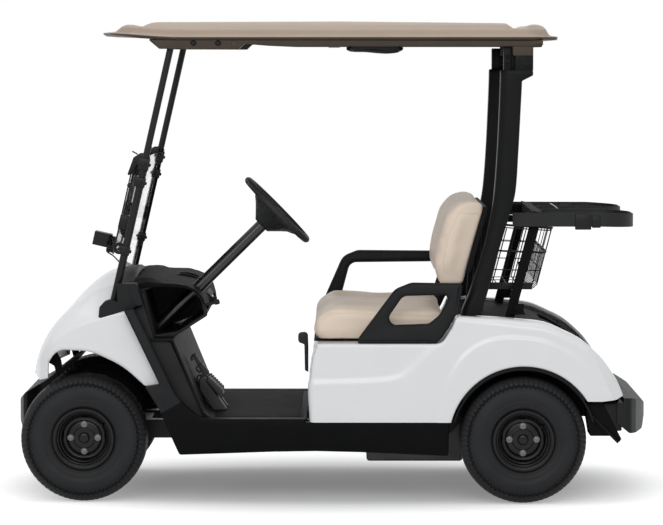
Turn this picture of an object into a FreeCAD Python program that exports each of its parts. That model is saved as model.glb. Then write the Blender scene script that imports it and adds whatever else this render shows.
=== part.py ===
"""Two-seat golf cart with a canopy, drawn at its real size in millimetres.

+X points forwards, +Y to the driver's left and +Z up. The origin is on the ground,
under the middle of the cart. Every size below is a cell of the spreadsheet "sizes".
"""

import FreeCAD, Part
import math
import os
from types import SimpleNamespace

from FreeCAD import Placement, Rotation, Vector

SIZES = [
    # running gear
    ("front_axle_x", 929, "front axle ahead of the origin"),
    ("wheelbase", 1640, "front axle to rear axle"),
    ("front_track", 870, "between the middles of the front tyres"),
    ("rear_track", 980, "between the middles of the rear tyres"),
    ("tyre_radius", 236.5, "loaded radius, which is also the hub height"),
    ("tyre_width", 206, "width over the sidewalls"),
    ("rim_seat_radius", 102, "where the tyre's bead sits on the rim"),
    ("bead_gap", 0.3, "between tyre and rim"),
    ("flange_radius", 115, "edge of the rim"),
    ("rim_thickness", 6, "steel of the rim and its disc"),
    ("disc_offset", 30, "disc outboard of the middle of the tyre"),
    ("hub_radius", 34, "hub behind the disc"),
    ("hub_cap_radius", 16, "dust cap"),
    ("stud_circle", 101.6, "diameter of the circle of wheel nuts"),
    ("nut_radius", 9.5, "wheel nut"),
    ("nut_height", 13, "wheel nut"),
    ("spindle_radius", 15, "axle stub in the hub"),
    ("running_gap", 0.05, "radial clearance of a shaft in its bore"),
    ("kingpin_inset", 60, "kingpin inboard of the middle of the front tyre"),
    ("kingpin_radius", 10, "kingpin"),
    ("kingpin_eye_radius", 21, "eye at the end of the front axle"),
    ("kingpin_eye_height", 74, "eye at the end of the front axle"),
    ("knuckle_plate", 14, "thickness of the knuckle's ears and back"),
    ("steering_arm_back", 105, "tie rod end behind the kingpin"),
    ("steering_arm_in", 85, "tie rod end inboard of the kingpin"),
    ("steering_arm_width", 24, "steering arm"),
    ("steering_arm_thickness", 12, "steering arm"),
    ("tie_rod_radius", 9, "tie rod"),
    ("tie_rod_gap", 0.3, "tie rod's eyes under the steering arms"),
    ("front_beam_height", 44, "front axle beam"),
    ("front_beam_width", 40, "front axle beam"),
    ("axle_tube_radius", 32, "rear axle tube"),
    ("gearcase_radius", 92, "rear axle gearcase"),
    ("gearcase_width", 150, "rear axle gearcase"),
    ("shock_radius", 24, "coil spring over a damper"),
    # chassis
    ("rail_y", 175, "middle of a frame rail"),
    ("rail_width", 50, "frame rail"),
    ("rail_height", 70, "frame rail"),
    ("rail_bottom_z", 205, "frame rail under the floor"),
    ("rail_rise", 90, "kick-up of the rails over the rear axle"),
    ("rail_front_x", 1110, "front end of the rails"),
    ("rail_rear_x", -1060, "rear end of the rails"),
    ("cross_width", 46, "cross member along the cart"),
    ("engine_length", 370, "engine and cradle"),
    ("engine_height", 360, "engine and cradle"),
    ("engine_bottom_z", 108, "engine and cradle"),
    ("engine_rear_x", -500, "engine and cradle"),
    # floor and sills
    ("floor_z", 315, "top of the floor"),
    ("panel_thickness", 8, "floor, deck and liner mouldings"),
    ("floor_half_width", 528, "floor between the sills"),
    ("sill_thickness", 62, "sill across the cart"),
    ("sill_top_z", 305, "sill under the rear body"),
    ("sill_bottom_z", 180, "lower corners of the sill"),
    ("sill_arch", 18, "rise of the sill's lower edge at its middle"),
    ("toe_foot_x", 470, "where the toe board leaves the floor"),
    ("toe_head_x", 592, "top of the toe board"),
    ("shelf_z", 612, "shelf over the toe board"),
    ("shelf_x", 700, "front of the shelf"),
    ("post_head_x", 772, "top of the corner post"),
    ("post_head_z", 722, "top of the corner post"),
    ("post_foot_x", 640, "foot of the corner post, at the front body's edge"),
    ("post_foot_z", 446, "foot of the corner post, at the front body's edge"),
    ("post_width", 38, "corner post along the cart"),
    # front body
    ("cowl_wall", 10, "wall of the front body"),
    ("cowl_half_width", 552, "front body"),
    ("cowl_nose_x", 1136, "front of the front body"),
    ("cowl_lip_z", 468, "lower edge of the nose"),
    ("cowl_back_x", 764, "back edge of the hood at the dashboard"),
    ("arch_top_z", 572, "top of the front wheel opening"),
    ("nose_x", 1198, "front of the bumper"),
    ("bumper_half_width", 212, "front bumper, between the steered tyres"),
    ("bumper_tip_y", 286, "ends of the front bumper ahead of the steered tyres"),
    # dashboard
    ("dash_half_width", 470, "dashboard between its cheeks"),
    ("dash_top_z", 817, "dashboard at its front"),
    ("dash_rear_z", 800, "dashboard at its rear edge"),
    ("dash_rear_x", 452, "rear face of the dashboard"),
    ("dash_thickness", 48, "top of the dashboard"),
    ("cheek_thickness", 36, "side cheek of the dashboard"),
    ("cabinet_side_y", 120, "driver's side of the glove cabinet"),
    ("cup_radius", 41, "cup holder"),
    ("cup_depth", 40, "cup holder"),
    # steering
    ("column_y", 280, "steering column left of the middle"),
    ("column_angle", 44.5, "steering column above the horizontal, degrees"),
    ("wheel_x", 209, "middle of the steering wheel"),
    ("wheel_z", 1082, "middle of the steering wheel"),
    ("wheel_rim_radius", 156, "steering wheel, to the middle of its rim"),
    ("wheel_grip_radius", 13, "steering wheel rim"),
    ("wheel_depth", 84, "steering wheel to the top of the column"),
    ("column_radius", 23, "steering column jacket"),
    # rear body and seat
    ("body_half_width", 600, "rear body"),
    ("body_wall", 12, "wall of the rear body"),
    ("body_front_x", 95, "front of the rear body"),
    ("seat_base_z", 598, "rear body under the seat"),
    ("fender_top_z", 701, "rear body behind the seat"),
    ("fender_front_x", -459, "where the rear body has risen behind the seat"),
    ("fender_tail_x", -1082, "tail of the rear body"),
    ("fender_tail_z", 404, "tail of the rear body"),
    ("fender_width", 110, "top of a fender across the cart"),
    ("arch_radius", 278, "rear wheel opening"),
    ("liner_gap", 7, "rear liner inside the wheel opening"),
    ("tail_x", -1198, "back of the rear bumper"),
    ("bag_well_radius", 122, "well for the foot of a golf bag"),
    ("bag_well_y", 228, "well for the foot of a golf bag"),
    ("bag_well_x", -930, "well for the foot of a golf bag"),
    ("bag_well_z", 418, "floor of the bag well"),
    ("seat_pan_thickness", 9, "board under the cushion"),
    ("rest_gap", 0.3, "between a piece and what it rests on"),
    ("cushion_half_width", 500, "seat cushion"),
    ("cushion_front_x", 84, "seat cushion"),
    ("cushion_rear_x", -436, "seat cushion"),
    ("cushion_top_z", 726, "seat cushion"),
    ("seat_pan_half_width", 455, "board under the cushion"),
    ("seat_opening_y", 430, "opening of the rear body under the seat"),
    ("seat_hinge_x", 64, "seat hinge pin"),
    ("hinge_pin_radius", 3, "seat hinge pin"),
    ("back_half_width", 452, "seat back"),
    ("back_bottom_z", 800, "seat back"),
    ("back_top_z", 1131, "seat back"),
    ("arm_outer_y", 584, "outside of the armrests"),
    ("arm_thickness", 40, "armrest across the cart"),
    ("arm_bar", 42, "armrest bar"),
    # canopy
    ("strut_y", 500, "front strut"),
    ("strut_radius", 12.5, "front strut"),
    ("strut_lean", 12.9, "front strut behind the vertical, degrees"),
    ("strut_foot_x", 815, "foot of the front strut"),
    ("strut_foot_z", 755, "foot of the front strut"),
    ("rear_strut_inner_y", 470, "rear strut"),
    ("rear_strut_thickness", 78, "rear strut across the cart"),
    ("rear_strut_width", 78, "rear strut along the cart"),
    ("rail_under_roof_z", 1694, "underside of the roof rails"),
    ("roof_edge_z", 1722, "underside of the roof's edge"),
    ("roof_top_z", 1793, "top of the roof"),
    ("roof_half_width", 560, "roof"),
    ("roof_front_x", 862, "roof"),
    ("roof_rear_x", -840, "roof"),
    ("pane_thickness", 5, "windscreen"),
    ("pane_half_width", 474, "windscreen"),
    ("pane_fold_z", 1283, "hinge of the folding windscreen"),
    ("pane_fold_gap", 42, "folded pane ahead of the fixed one"),
    # luggage
    ("rack_upright_y", 440, "uprights of the bag rack"),
    ("rack_upright_width", 34, "uprights of the bag rack"),
    ("rack_top_z", 1081, "top of the bag rack"),
    ("strap_height", 53, "bag strap"),
    ("strap_thickness", 6, "bag strap"),
    ("strap_rear_x", -1131, "bag strap"),
    ("basket_half_width", 380, "basket"),
    ("basket_front_x", -588, "foot of the basket at the front"),
    ("basket_depth", 182, "basket along the cart"),
    ("basket_bottom_z", 784, "basket"),
    ("basket_height", 248, "basket"),
    ("basket_wire", 5, "wire of the basket"),
    ("basket_pitch", 42, "between wires"),
]

doc = FreeCAD.newDocument("golf_cart")
sheet = doc.addObject("Spreadsheet::Sheet", "sizes")
for row, (alias, value, meaning) in enumerate(SIZES, start=1):
    sheet.set(f"A{row}", meaning)
    sheet.set(f"B{row}", str(value))
    sheet.setAlias(f"B{row}", alias)
doc.recompute()
s = SimpleNamespace(**{alias: float(sheet.get(alias)) for alias, _, _ in SIZES})

# places that several pieces share
rear_axle_x = s.front_axle_x - s.wheelbase
hub_z = s.tyre_radius
kingpin_y = s.front_track / 2 - s.kingpin_inset
rail_top_z = s.rail_bottom_z + s.rail_height
floor_under_z = s.floor_z - s.panel_thickness
sill_outer_y = s.floor_half_width + s.sill_thickness
fender_inner_y = s.body_half_width - s.fender_width
seat_hinge_z = s.seat_base_z + s.rest_gap + s.seat_pan_thickness / 2
lean = math.radians(s.strut_lean)
column = math.radians(s.column_angle)
WIDE = 2000.0

parts = {}


# outlines and plain solids


def outline(points, closed=True):
    """Lines with rounded corners through points (a, b) or (a, b, radius), as 2-D curves."""
    count = len(points)
    corners = []
    for i, point in enumerate(points):
        here = Vector(point[0], point[1], 0)
        radius = point[2] if len(point) > 2 else 0
        if radius == 0 or (not closed and i in (0, count - 1)):
            corners.append((here, None, here))
            continue
        before = Vector(points[i - 1][0], points[i - 1][1], 0) - here
        after = Vector(points[(i + 1) % count][0], points[(i + 1) % count][1], 0) - here
        turn = before.getAngle(after)
        before.normalize()
        after.normalize()
        reach = radius / math.tan(turn / 2)
        bisector = (before + after).normalize()
        middle = here + bisector * (radius / math.sin(turn / 2) - radius)
        corners.append((here + before * reach, middle, here + after * reach))
    curves = []
    for i, (start, middle, end) in enumerate(corners):
        if middle is not None:
            curves.append(Part.Arc(start, middle, end))
        if i == count - 1 and not closed:
            break
        following = corners[(i + 1) % count][0]
        if end.distanceToPoint(following) > 1e-6:
            curves.append(Part.LineSegment(end, following))
    return curves


def flat_face(points):
    return Part.Face(Part.Wire([c.toShape() for c in outline(points)]))


def side_prism(points, y_from, y_to):
    """A solid with an outline in the side view (x, z), between two Y."""
    face = flat_face(points)
    face.rotate(Vector(), Vector(1, 0, 0), 90)
    face.translate(Vector(0, y_from, 0))
    return face.extrude(Vector(0, y_to - y_from, 0))


def plan_prism(points, z_from, z_to):
    """A solid with an outline seen from above (x, y), between two Z."""
    face = flat_face(points)
    face.translate(Vector(0, 0, z_from))
    return face.extrude(Vector(0, 0, z_to - z_from))


def front_prism(points, x_from, x_to):
    """A solid with an outline in the front view (y, z), between two X."""
    face = flat_face(points)
    face.rotate(Vector(), Vector(1, 1, 1), 120)
    face.translate(Vector(x_from, 0, 0))
    return face.extrude(Vector(x_to - x_from, 0, 0))


def block(x_from, x_to, y_from, y_to, z_from, z_to):
    return Part.makeBox(x_to - x_from, y_to - y_from, z_to - z_from, Vector(x_from, y_from, z_from))


def rod(start, end, radius):
    """A round bar from one point to another."""
    direction = end - start
    return Part.makeCylinder(radius, direction.Length, start, direction)


def flat_bar(start, end, width, y_from, y_to):
    """A bar between two points (x, z) of the side view, of that width, between two Y."""
    a = Vector(start[0], start[1], 0)
    b = Vector(end[0], end[1], 0)
    across = Vector(-(b - a).y, (b - a).x, 0).normalize() * (width / 2)
    corners = [a + across, b + across, b - across, a - across]
    return side_prism([(p.x, p.y) for p in corners], y_from, y_to)


def mirrored(shape):
    return shape.mirror(Vector(), Vector(0, 1, 0))


def both_sides(shape):
    return shape.fuse(mirrored(shape))


def fused(shapes):
    first, *others = shapes
    return first.multiFuse(others).removeSplitter() if others else first


# document objects


def keep(label, piece):
    piece.Label = label
    parts[label] = piece
    return piece


def feature(label, shape):
    """A sub-part whose shape comes from the functions above."""
    piece = doc.addObject("Part::Feature", label)
    piece.Shape = shape
    piece.Placement = Placement()
    return keep(label, piece)


def side_body(label, loops, outer_y, depth):
    """A body padded from an outline in the side view; outer_y and depth are expressions."""
    body = doc.addObject("PartDesign::Body", label)
    sketch = body.newObject("Sketcher::SketchObject", label + "_outline")
    plane = next(f for f in body.Origin.OriginFeatures if f.Role == "XZ_Plane")
    sketch.AttachmentSupport = [(plane, "")]
    sketch.MapMode = "FlatFace"
    sketch.setExpression("AttachmentOffset.Base.z", f"-({outer_y})")
    for loop in loops:
        for curve in outline(loop):
            sketch.addGeometry(curve)
    pad = body.newObject("PartDesign::Pad", label + "_pad")
    pad.Profile = sketch
    pad.setExpression("Length", depth)
    return keep(label, body)


def side_pair(label, loops, outer_y, depth):
    """A padded body on the left and its mirror image on the right, as one sub-part."""
    left = side_body(label + "_left", loops, outer_y, depth)
    parts.pop(left.Label)
    right = doc.addObject("Part::Mirroring", label + "_right")
    right.Source = left
    right.Base = Vector()
    right.Normal = Vector(0, 1, 0)
    pair = doc.addObject("Part::Compound", label)
    pair.Links = [left, right]
    return keep(label, pair)


def turned_body(label, loop, x, y, z):
    """A body turned about the cart's Y axis from an outline (y, radius), at a place given by expressions."""
    body = doc.addObject("PartDesign::Body", label)
    sketch = body.newObject("Sketcher::SketchObject", label + "_section")
    plane = next(f for f in body.Origin.OriginFeatures if f.Role == "YZ_Plane")
    sketch.AttachmentSupport = [(plane, "")]
    sketch.MapMode = "FlatFace"
    for curve in outline(loop):
        sketch.addGeometry(curve)
    turn = body.newObject("PartDesign::Revolution", label + "_turn")
    turn.Profile = sketch
    turn.ReferenceAxis = (sketch, ["H_Axis"])
    turn.Angle = 360
    body.setExpression("Placement.Base.x", x)
    body.setExpression("Placement.Base.y", y)
    body.setExpression("Placement.Base.z", z)
    return keep(label, body)


def box_part(label, length, width, height, x, y, z):
    """A plain block; every argument is an expression, x, y and z give its lowest corner."""
    box = doc.addObject("Part::Box", label)
    named = {"Length": length, "Width": width, "Height": height}
    named.update({"Placement.Base.x": x, "Placement.Base.y": y, "Placement.Base.z": z})
    for prop, text in named.items():
        box.setExpression(prop, text)
    return keep(label, box)


# wheels

WHEELS = {
    "front_left": ("sizes.front_axle_x", "sizes.front_track / 2", 1),
    "front_right": ("sizes.front_axle_x", "-sizes.front_track / 2", -1),
    "rear_left": ("sizes.front_axle_x - sizes.wheelbase", "sizes.rear_track / 2", 1),
    "rear_right": ("sizes.front_axle_x - sizes.wheelbase", "-sizes.rear_track / 2", -1),
}


def tyre_section():
    """Half a balloon tyre's section mirrored about its middle, as (y, radius)."""
    half = s.tyre_width / 2
    bead = s.flange_radius
    inner = s.rim_seat_radius
    shoulder = s.tyre_radius - 22
    right = [
        (half - 16, inner),
        (half - 16, bead + 1),
        (half - 2, bead + 26, 20),
        (half, shoulder - 38, 30),
        (half - 6, shoulder, 14),
        (half - 28, s.tyre_radius, 18),
    ]
    left = [(-p[0], *p[1:]) for p in reversed(right)]
    return right + left


def rim_shape(side):
    """Steel rim with its disc, hub, dust cap and nuts; side is 1 on the left, -1 on the right."""
    half = s.tyre_width / 2 - 10
    seat = s.rim_seat_radius - s.bead_gap
    wall = s.rim_thickness
    disc = s.disc_offset
    section = [
        (-half, seat - wall),
        (-half, s.flange_radius),
        (-half + wall - 1, s.flange_radius),
        (-half + wall - 1, seat),
        (half - wall + 1, seat),
        (half - wall + 1, s.flange_radius),
        (half, s.flange_radius),
        (half, seat - wall),
        (disc + 34, seat - wall - 8, 12),
        (disc + 4, seat - wall - 18, 10),
        (disc, seat - wall - 26),
        (disc + 10, s.hub_radius + 14, 12),
        (disc + 10, s.hub_cap_radius + 3),
        (disc + 30, s.hub_cap_radius, 4),
        (disc + 30, 0),
        (disc + 18, 0),
        (disc + 18, s.spindle_radius + s.running_gap),
        (-20, s.spindle_radius + s.running_gap),
        (-20, s.hub_radius),
        (disc + 2, s.hub_radius),
        (disc - wall, s.hub_radius + 16, 10),
        (disc - wall, seat - wall - 28),
        (disc - 2, seat - wall),
    ]
    face = flat_face(section)
    face.rotate(Vector(), Vector(1, 1, 1), 120)
    rim = face.revolve(Vector(), Vector(0, 1, 0), 360)
    nuts = []
    for quarter in range(4):
        angle = math.radians(90 * quarter)
        seat_at = Vector(math.sin(angle), 0, math.cos(angle)) * (s.stud_circle / 2)
        seat_at.y = disc + 7
        nuts.append(Part.makeCylinder(s.nut_radius, s.nut_height, seat_at, Vector(0, 1, 0)))
    rim = fused([rim] + nuts)
    return rim if side > 0 else mirrored(rim)


def make_wheels():
    for corner, (x, y, side) in WHEELS.items():
        turned_body("tyre_" + corner, tyre_section(), x, y, "sizes.tyre_radius")
        rim = feature("rim_" + corner, rim_shape(side))
        rim.setExpression("Placement.Base.x", x)
        rim.setExpression("Placement.Base.y", y)
        rim.setExpression("Placement.Base.z", "sizes.tyre_radius")


# axles and steering linkage


def make_front_axle():
    """Beam between the kingpins, with a damper standing on it at each side."""
    width, height = s.front_beam_width, s.front_beam_height
    inner = kingpin_y - s.kingpin_eye_radius + 6
    top = s.rail_bottom_z - s.rest_gap
    drop = s.rail_y + s.rail_width / 2 + 55
    half = [
        (drop + 30, top - height + 10, 20),
        (drop + 30, hub_z - height / 2),
        (inner, hub_z - height / 2),
        (inner, hub_z + height / 2),
        (drop, hub_z + height / 2, 10),
        (drop, top),
    ]
    across = half + [(-p[0], *p[1:]) for p in reversed(half)]
    beam = front_prism(across, s.front_axle_x - width / 2, s.front_axle_x + width / 2)
    pieces = [beam]
    for side in (1, -1):
        foot = Vector(s.front_axle_x, side * kingpin_y, hub_z - s.kingpin_eye_height / 2)
        pieces.append(Part.makeCylinder(s.kingpin_eye_radius, s.kingpin_eye_height, foot))
    axle = fused(pieces)
    for side in (1, -1):
        foot = Vector(s.front_axle_x, side * kingpin_y, 0)
        axle = axle.cut(Part.makeCylinder(s.kingpin_radius + s.running_gap, WIDE, foot))
    feature("front_axle", axle)


def knuckle_shape():
    """Left knuckle: ears over and under the axle's eye, kingpin, spindle and steering arm."""
    x, y, z = s.front_axle_x, kingpin_y, hub_z
    plate = s.knuckle_plate
    half = s.kingpin_eye_height / 2 + 2
    back = y + s.kingpin_eye_radius + 4
    ear = s.kingpin_eye_radius
    pieces = [
        block(x - ear, x + ear, back, back + plate, z - half - plate, z + half + plate),
        rod(Vector(x, back, z), Vector(x, s.front_track / 2 + s.disc_offset + 10, z), s.spindle_radius),
        rod(Vector(x, y, z - half - plate), Vector(x, y, z + half + plate), s.kingpin_radius),
    ]
    for low in (z - half - plate, z + half):
        pieces.append(Part.makeCylinder(ear, plate, Vector(x, y, low)))
        pieces.append(block(x - ear, x + ear, y, back + plate, low, low + plate))
    arm_z = z - half - plate
    reach = Vector(-s.steering_arm_back, -s.steering_arm_in, 0)
    across = Vector(reach.y, -reach.x, 0).normalize() * (s.steering_arm_width / 2)
    foot = Vector(x, y, 0)
    corners = [foot + across, foot + reach + across, foot + reach - across, foot - across]
    pieces.append(plan_prism([(c.x, c.y) for c in corners], arm_z, arm_z + s.steering_arm_thickness))
    end = foot + reach + Vector(0, 0, arm_z)
    pieces.append(Part.makeCylinder(s.steering_arm_width / 2, s.steering_arm_thickness, end))
    return fused(pieces)


def make_knuckles():
    left = knuckle_shape()
    feature("knuckle_left", left)
    feature("knuckle_right", mirrored(left))


def make_tie_rod():
    """One rod across the cart, with an eye under the end of each steering arm."""
    half = s.kingpin_eye_height / 2 + 2
    arm_z = hub_z - half - s.knuckle_plate
    end_y = kingpin_y - s.steering_arm_in
    x = s.front_axle_x - s.steering_arm_back
    eye = s.tie_rod_radius + 2
    z = arm_z - s.tie_rod_gap - eye
    pieces = [rod(Vector(x, -end_y, z), Vector(x, end_y, z), s.tie_rod_radius)]
    for side in (1, -1):
        pieces.append(Part.makeCylinder(14, 2 * eye, Vector(x, side * end_y, z - eye)))
    feature("tie_rod", fused(pieces))


def make_rear_axle():
    """Axle tube with its gearcase, stub shafts in the hubs and a spring seat under each rail."""
    x, z = rear_axle_x, hub_z
    tube_end = s.rear_track / 2 - 30
    pieces = [
        rod(Vector(x, -tube_end, z), Vector(x, tube_end, z), s.axle_tube_radius),
        rod(Vector(x, -s.gearcase_width / 2, z), Vector(x, s.gearcase_width / 2, z), s.gearcase_radius),
    ]
    for side in (1, -1):
        pieces.append(rod(Vector(x, side * tube_end, z), Vector(x, side * (s.rear_track / 2 + s.disc_offset + 10), z),
                          s.spindle_radius))
        foot = Vector(x, side * s.rail_y, z)
        rail_under = s.rail_bottom_z + s.rail_rise
        pieces.append(Part.makeCylinder(s.shock_radius, rail_under - z, foot))
    feature("rear_axle", fused(pieces))


# chassis


def rail_outline():
    """A rail from the side: level under the floor, raised over the rear axle."""
    low = s.rail_bottom_z
    high = low + s.rail_height
    step_front = rear_axle_x + 280
    step_rear = rear_axle_x + 190
    return [
        (s.rail_front_x, low),
        (s.rail_front_x, high),
        (step_front, high),
        (step_rear, high + s.rail_rise),
        (s.rail_rear_x, high + s.rail_rise),
        (s.rail_rear_x, low + s.rail_rise),
        (step_rear, low + s.rail_rise),
        (step_front, low),
    ]


def make_chassis():
    """Ladder frame: two rails, cross members between them and outriggers under the floor."""
    inner = s.rail_y - s.rail_width / 2
    outer = s.rail_y + s.rail_width / 2
    low = s.rail_bottom_z
    engine_front = s.engine_rear_x + s.engine_length
    pieces = [side_prism(rail_outline(), side * inner, side * outer) for side in (1, -1)]
    behind_engine = s.engine_rear_x - s.cross_width - s.rest_gap
    for x in (s.rail_front_x - s.cross_width, s.front_axle_x - 230, engine_front + s.rest_gap):
        pieces.append(block(x, x + s.cross_width, -inner, inner, low + 8, rail_top_z - 8))
    high = low + s.rail_rise
    pieces.append(block(behind_engine, behind_engine + s.cross_width, -inner, inner, high, high + 40))
    tail = s.rail_rear_x
    pieces.append(block(tail, tail + s.cross_width, -inner, inner, low + s.rail_rise, rail_top_z + s.rail_rise))
    reach = s.floor_half_width - s.rest_gap
    for x in (s.toe_foot_x - 60, 120):
        pieces.append(block(x, x + s.cross_width, -reach, reach, rail_top_z, floor_under_z - s.rest_gap))
    mount_z = s.bag_well_z - s.panel_thickness - s.rest_gap
    for side in (1, -1):
        ys = sorted((side * inner, side * reach))
        pieces.append(block(-330, -330 + s.cross_width, ys[0], ys[1], rail_top_z, floor_under_z - s.rest_gap))
        ys = sorted((side * inner, side * outer))
        pieces.append(block(tail + 10, tail + 50, ys[0], ys[1], rail_top_z + s.rail_rise, mount_z))
    feature("chassis_frame", fused(pieces))


def make_engine():
    inner = "(sizes.rail_y - sizes.rail_width / 2 - 10)"
    box_part("engine_block", "sizes.engine_length", f"2 * {inner}", "sizes.engine_height",
             "sizes.engine_rear_x", f"-{inner}", "sizes.engine_bottom_z")


# floor, toe board and sills


def floor_shape():
    """One moulding: floor, toe board, shelf and bulkhead behind the front body."""
    wall = s.panel_thickness
    head_z = s.dash_top_z - s.dash_thickness
    slope = Vector(s.toe_head_x - s.toe_foot_x, s.shelf_z - s.floor_z, 0).normalize()
    away = Vector(slope.y, -slope.x, 0) * wall
    top = [
        (s.body_front_x, s.floor_z),
        (s.toe_foot_x, s.floor_z, 60),
        (s.toe_head_x, s.shelf_z, 14),
        (s.shelf_x, s.shelf_z, 30),
        (s.post_head_x - 20, s.post_head_z - 10, 40),
        (s.post_head_x - 20, head_z),
    ]
    under = [
        (s.post_head_x - 20 + wall, head_z),
        (s.post_head_x - 20 + wall, s.post_head_z - 12, 40),
        (s.shelf_x + wall * 0.7, s.shelf_z - wall, 30),
        (s.toe_head_x + away.x * 0.8, s.shelf_z - wall, 8),
        (s.toe_foot_x + away.x * 0.6, s.floor_z - wall, 66),
        (s.body_front_x, s.floor_z - wall),
    ]
    return side_prism(top + under, -s.floor_half_width, s.floor_half_width)


def under_floor():
    """Everything below and ahead of the floor's upper side, with the rest gap."""
    gap = s.rest_gap
    bulkhead = s.post_head_x - 20 - gap
    return side_prism([
        (s.body_front_x - gap, s.floor_z + gap),
        (s.toe_foot_x - gap, s.floor_z + gap, 60),
        (s.toe_head_x - gap, s.shelf_z + gap, 14),
        (s.shelf_x - gap, s.shelf_z + gap, 30),
        (bulkhead, s.post_head_z - 10 + gap, 40),
        (bulkhead, WIDE),
        (WIDE, WIDE),
        (WIDE, 0),
        (s.body_front_x - gap, 0),
    ], -WIDE / 2, WIDE / 2)


def sill_outline():
    """Corner post and sill from the side; the rear end follows the rear wheel opening."""
    clear = s.arch_radius + 6
    rear_top_x = rear_axle_x + math.sqrt(clear ** 2 - (s.sill_top_z - hub_z) ** 2)
    rear_low_x = rear_axle_x + math.sqrt(clear ** 2 - (hub_z - s.sill_bottom_z) ** 2)
    slope = (s.post_head_x - s.post_foot_x) / (s.post_head_z - s.post_foot_z)
    lip_z = s.floor_z + 3
    post_inner_x = s.post_foot_x - s.post_width
    knee_z = s.post_foot_z - 56
    toe_slope = (s.toe_head_x - s.toe_foot_x) / (s.shelf_z - s.floor_z)
    return [
        (s.post_head_x, s.post_head_z),
        (s.post_foot_x, s.post_foot_z),
        (s.post_foot_x + 55, s.post_foot_z - 9),
        (s.post_foot_x + 3, s.post_foot_z - 90, 120),
        (s.post_foot_x - 71, s.sill_bottom_z, 12),
        (60, s.sill_bottom_z + s.sill_arch, 4000),
        (rear_low_x, s.sill_bottom_z - 4, 8),
        (rear_top_x, s.sill_top_z),
        (s.body_front_x + 4, s.sill_top_z),
        (s.body_front_x + 4, lip_z, 3),
        (s.toe_foot_x + 20, lip_z, 40),
        (post_inner_x - 56 * slope, knee_z, 200),
        (s.post_head_x - s.post_width, s.post_head_z + 4),
    ]


def make_floor_and_sills():
    feature("floorboard", floor_shape())
    side_pair("sills", [sill_outline()], "sizes.floor_half_width + sizes.sill_thickness", "sizes.sill_thickness")


# front body


def hood_section(x, half, side_z, ridge_z, top_z, inset):
    """One section of the front body across the cart, as a closed wire."""
    w = half - inset
    foot = 100
    crown = [
        Vector(x, -w, side_z - inset),
        Vector(x, -w * 0.94, side_z - inset + (ridge_z - side_z) * 0.55),
        Vector(x, -w * 0.74, ridge_z - inset),
        Vector(x, -w * 0.4, ridge_z - inset + (top_z - ridge_z) * 0.75),
        Vector(x, 0, top_z - inset),
        Vector(x, w * 0.4, ridge_z - inset + (top_z - ridge_z) * 0.75),
        Vector(x, w * 0.74, ridge_z - inset),
        Vector(x, w * 0.94, side_z - inset + (ridge_z - side_z) * 0.55),
        Vector(x, w, side_z - inset),
    ]
    curve = Part.BSplineCurve()
    curve.interpolate(crown)
    corners = [crown[-1], Vector(x, w, foot), Vector(x, -w, foot), crown[0]]
    sides = [Part.makeLine(corners[i], corners[i + 1]) for i in range(3)]
    return Part.Wire([curve.toShape()] + sides)


def hood_block(inset):
    """The front body's outside, or with an inset its inside, as one solid."""
    nose = s.cowl_nose_x
    half = s.cowl_half_width
    stations = [
        (600, half, 724, 820, 850),
        (770, half, 712, 812, 846),
        (860, half, 690, 790, 832),
        (940, half - 1, 660, 750, 776),
        (1004, half - 8, 620, 698, 706),
        (1056, half - 30, 576, 640, 646),
        (nose - 42, half - 90, 532, 576, 580),
        (nose - 18, half - 190, 494, 520, 523),
        (nose, half - 340, 458, 470, 472),
    ]
    wires = []
    for x, w, side_z, ridge_z, top_z in stations:
        at = min(x, nose - inset) if x == nose else x
        wires.append(hood_section(at, w, side_z, ridge_z, top_z, inset))
    return Part.makeLoft(wires, True, False)


def front_arch_outline():
    """The front wheel opening from the side, open at the bottom."""
    x = s.front_axle_x
    top = s.arch_top_z
    return [
        (x + 128, 50),
        (x + 136, top - 60, 50),
        (x + 96, top, 60),
        (x - 30, top - 4, 200),
        (x - 150, top - 60, 300),
        (s.post_foot_x + 54, s.post_foot_z - 12),
        (s.post_foot_x + 54, 50),
    ]


def boot_outline():
    """Corner cover over the foot of the front strut, from the side."""
    x = s.post_head_x + 3
    z = s.post_head_z
    return [
        (x, z - 4),
        (x + 24, z + 30, 12),
        (x + 50, z + 37, 20),
        (x + 72, z + 30, 14),
        (x + 90, z + 10, 14),
        (x + 93, z - 27),
        (x + 80, z - 33),
    ]


def front_strut_line():
    """Axis of the left front strut, from inside the corner cover to the roof rail."""
    foot = Vector(s.strut_foot_x, s.strut_y, s.strut_foot_z)
    up = Vector(-math.sin(lean), 0, math.cos(lean))
    low = foot + up * ((s.strut_foot_z - s.post_head_z) / -up.z)
    return low, foot + up * ((WIDE - s.strut_foot_z) / up.z)


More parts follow.
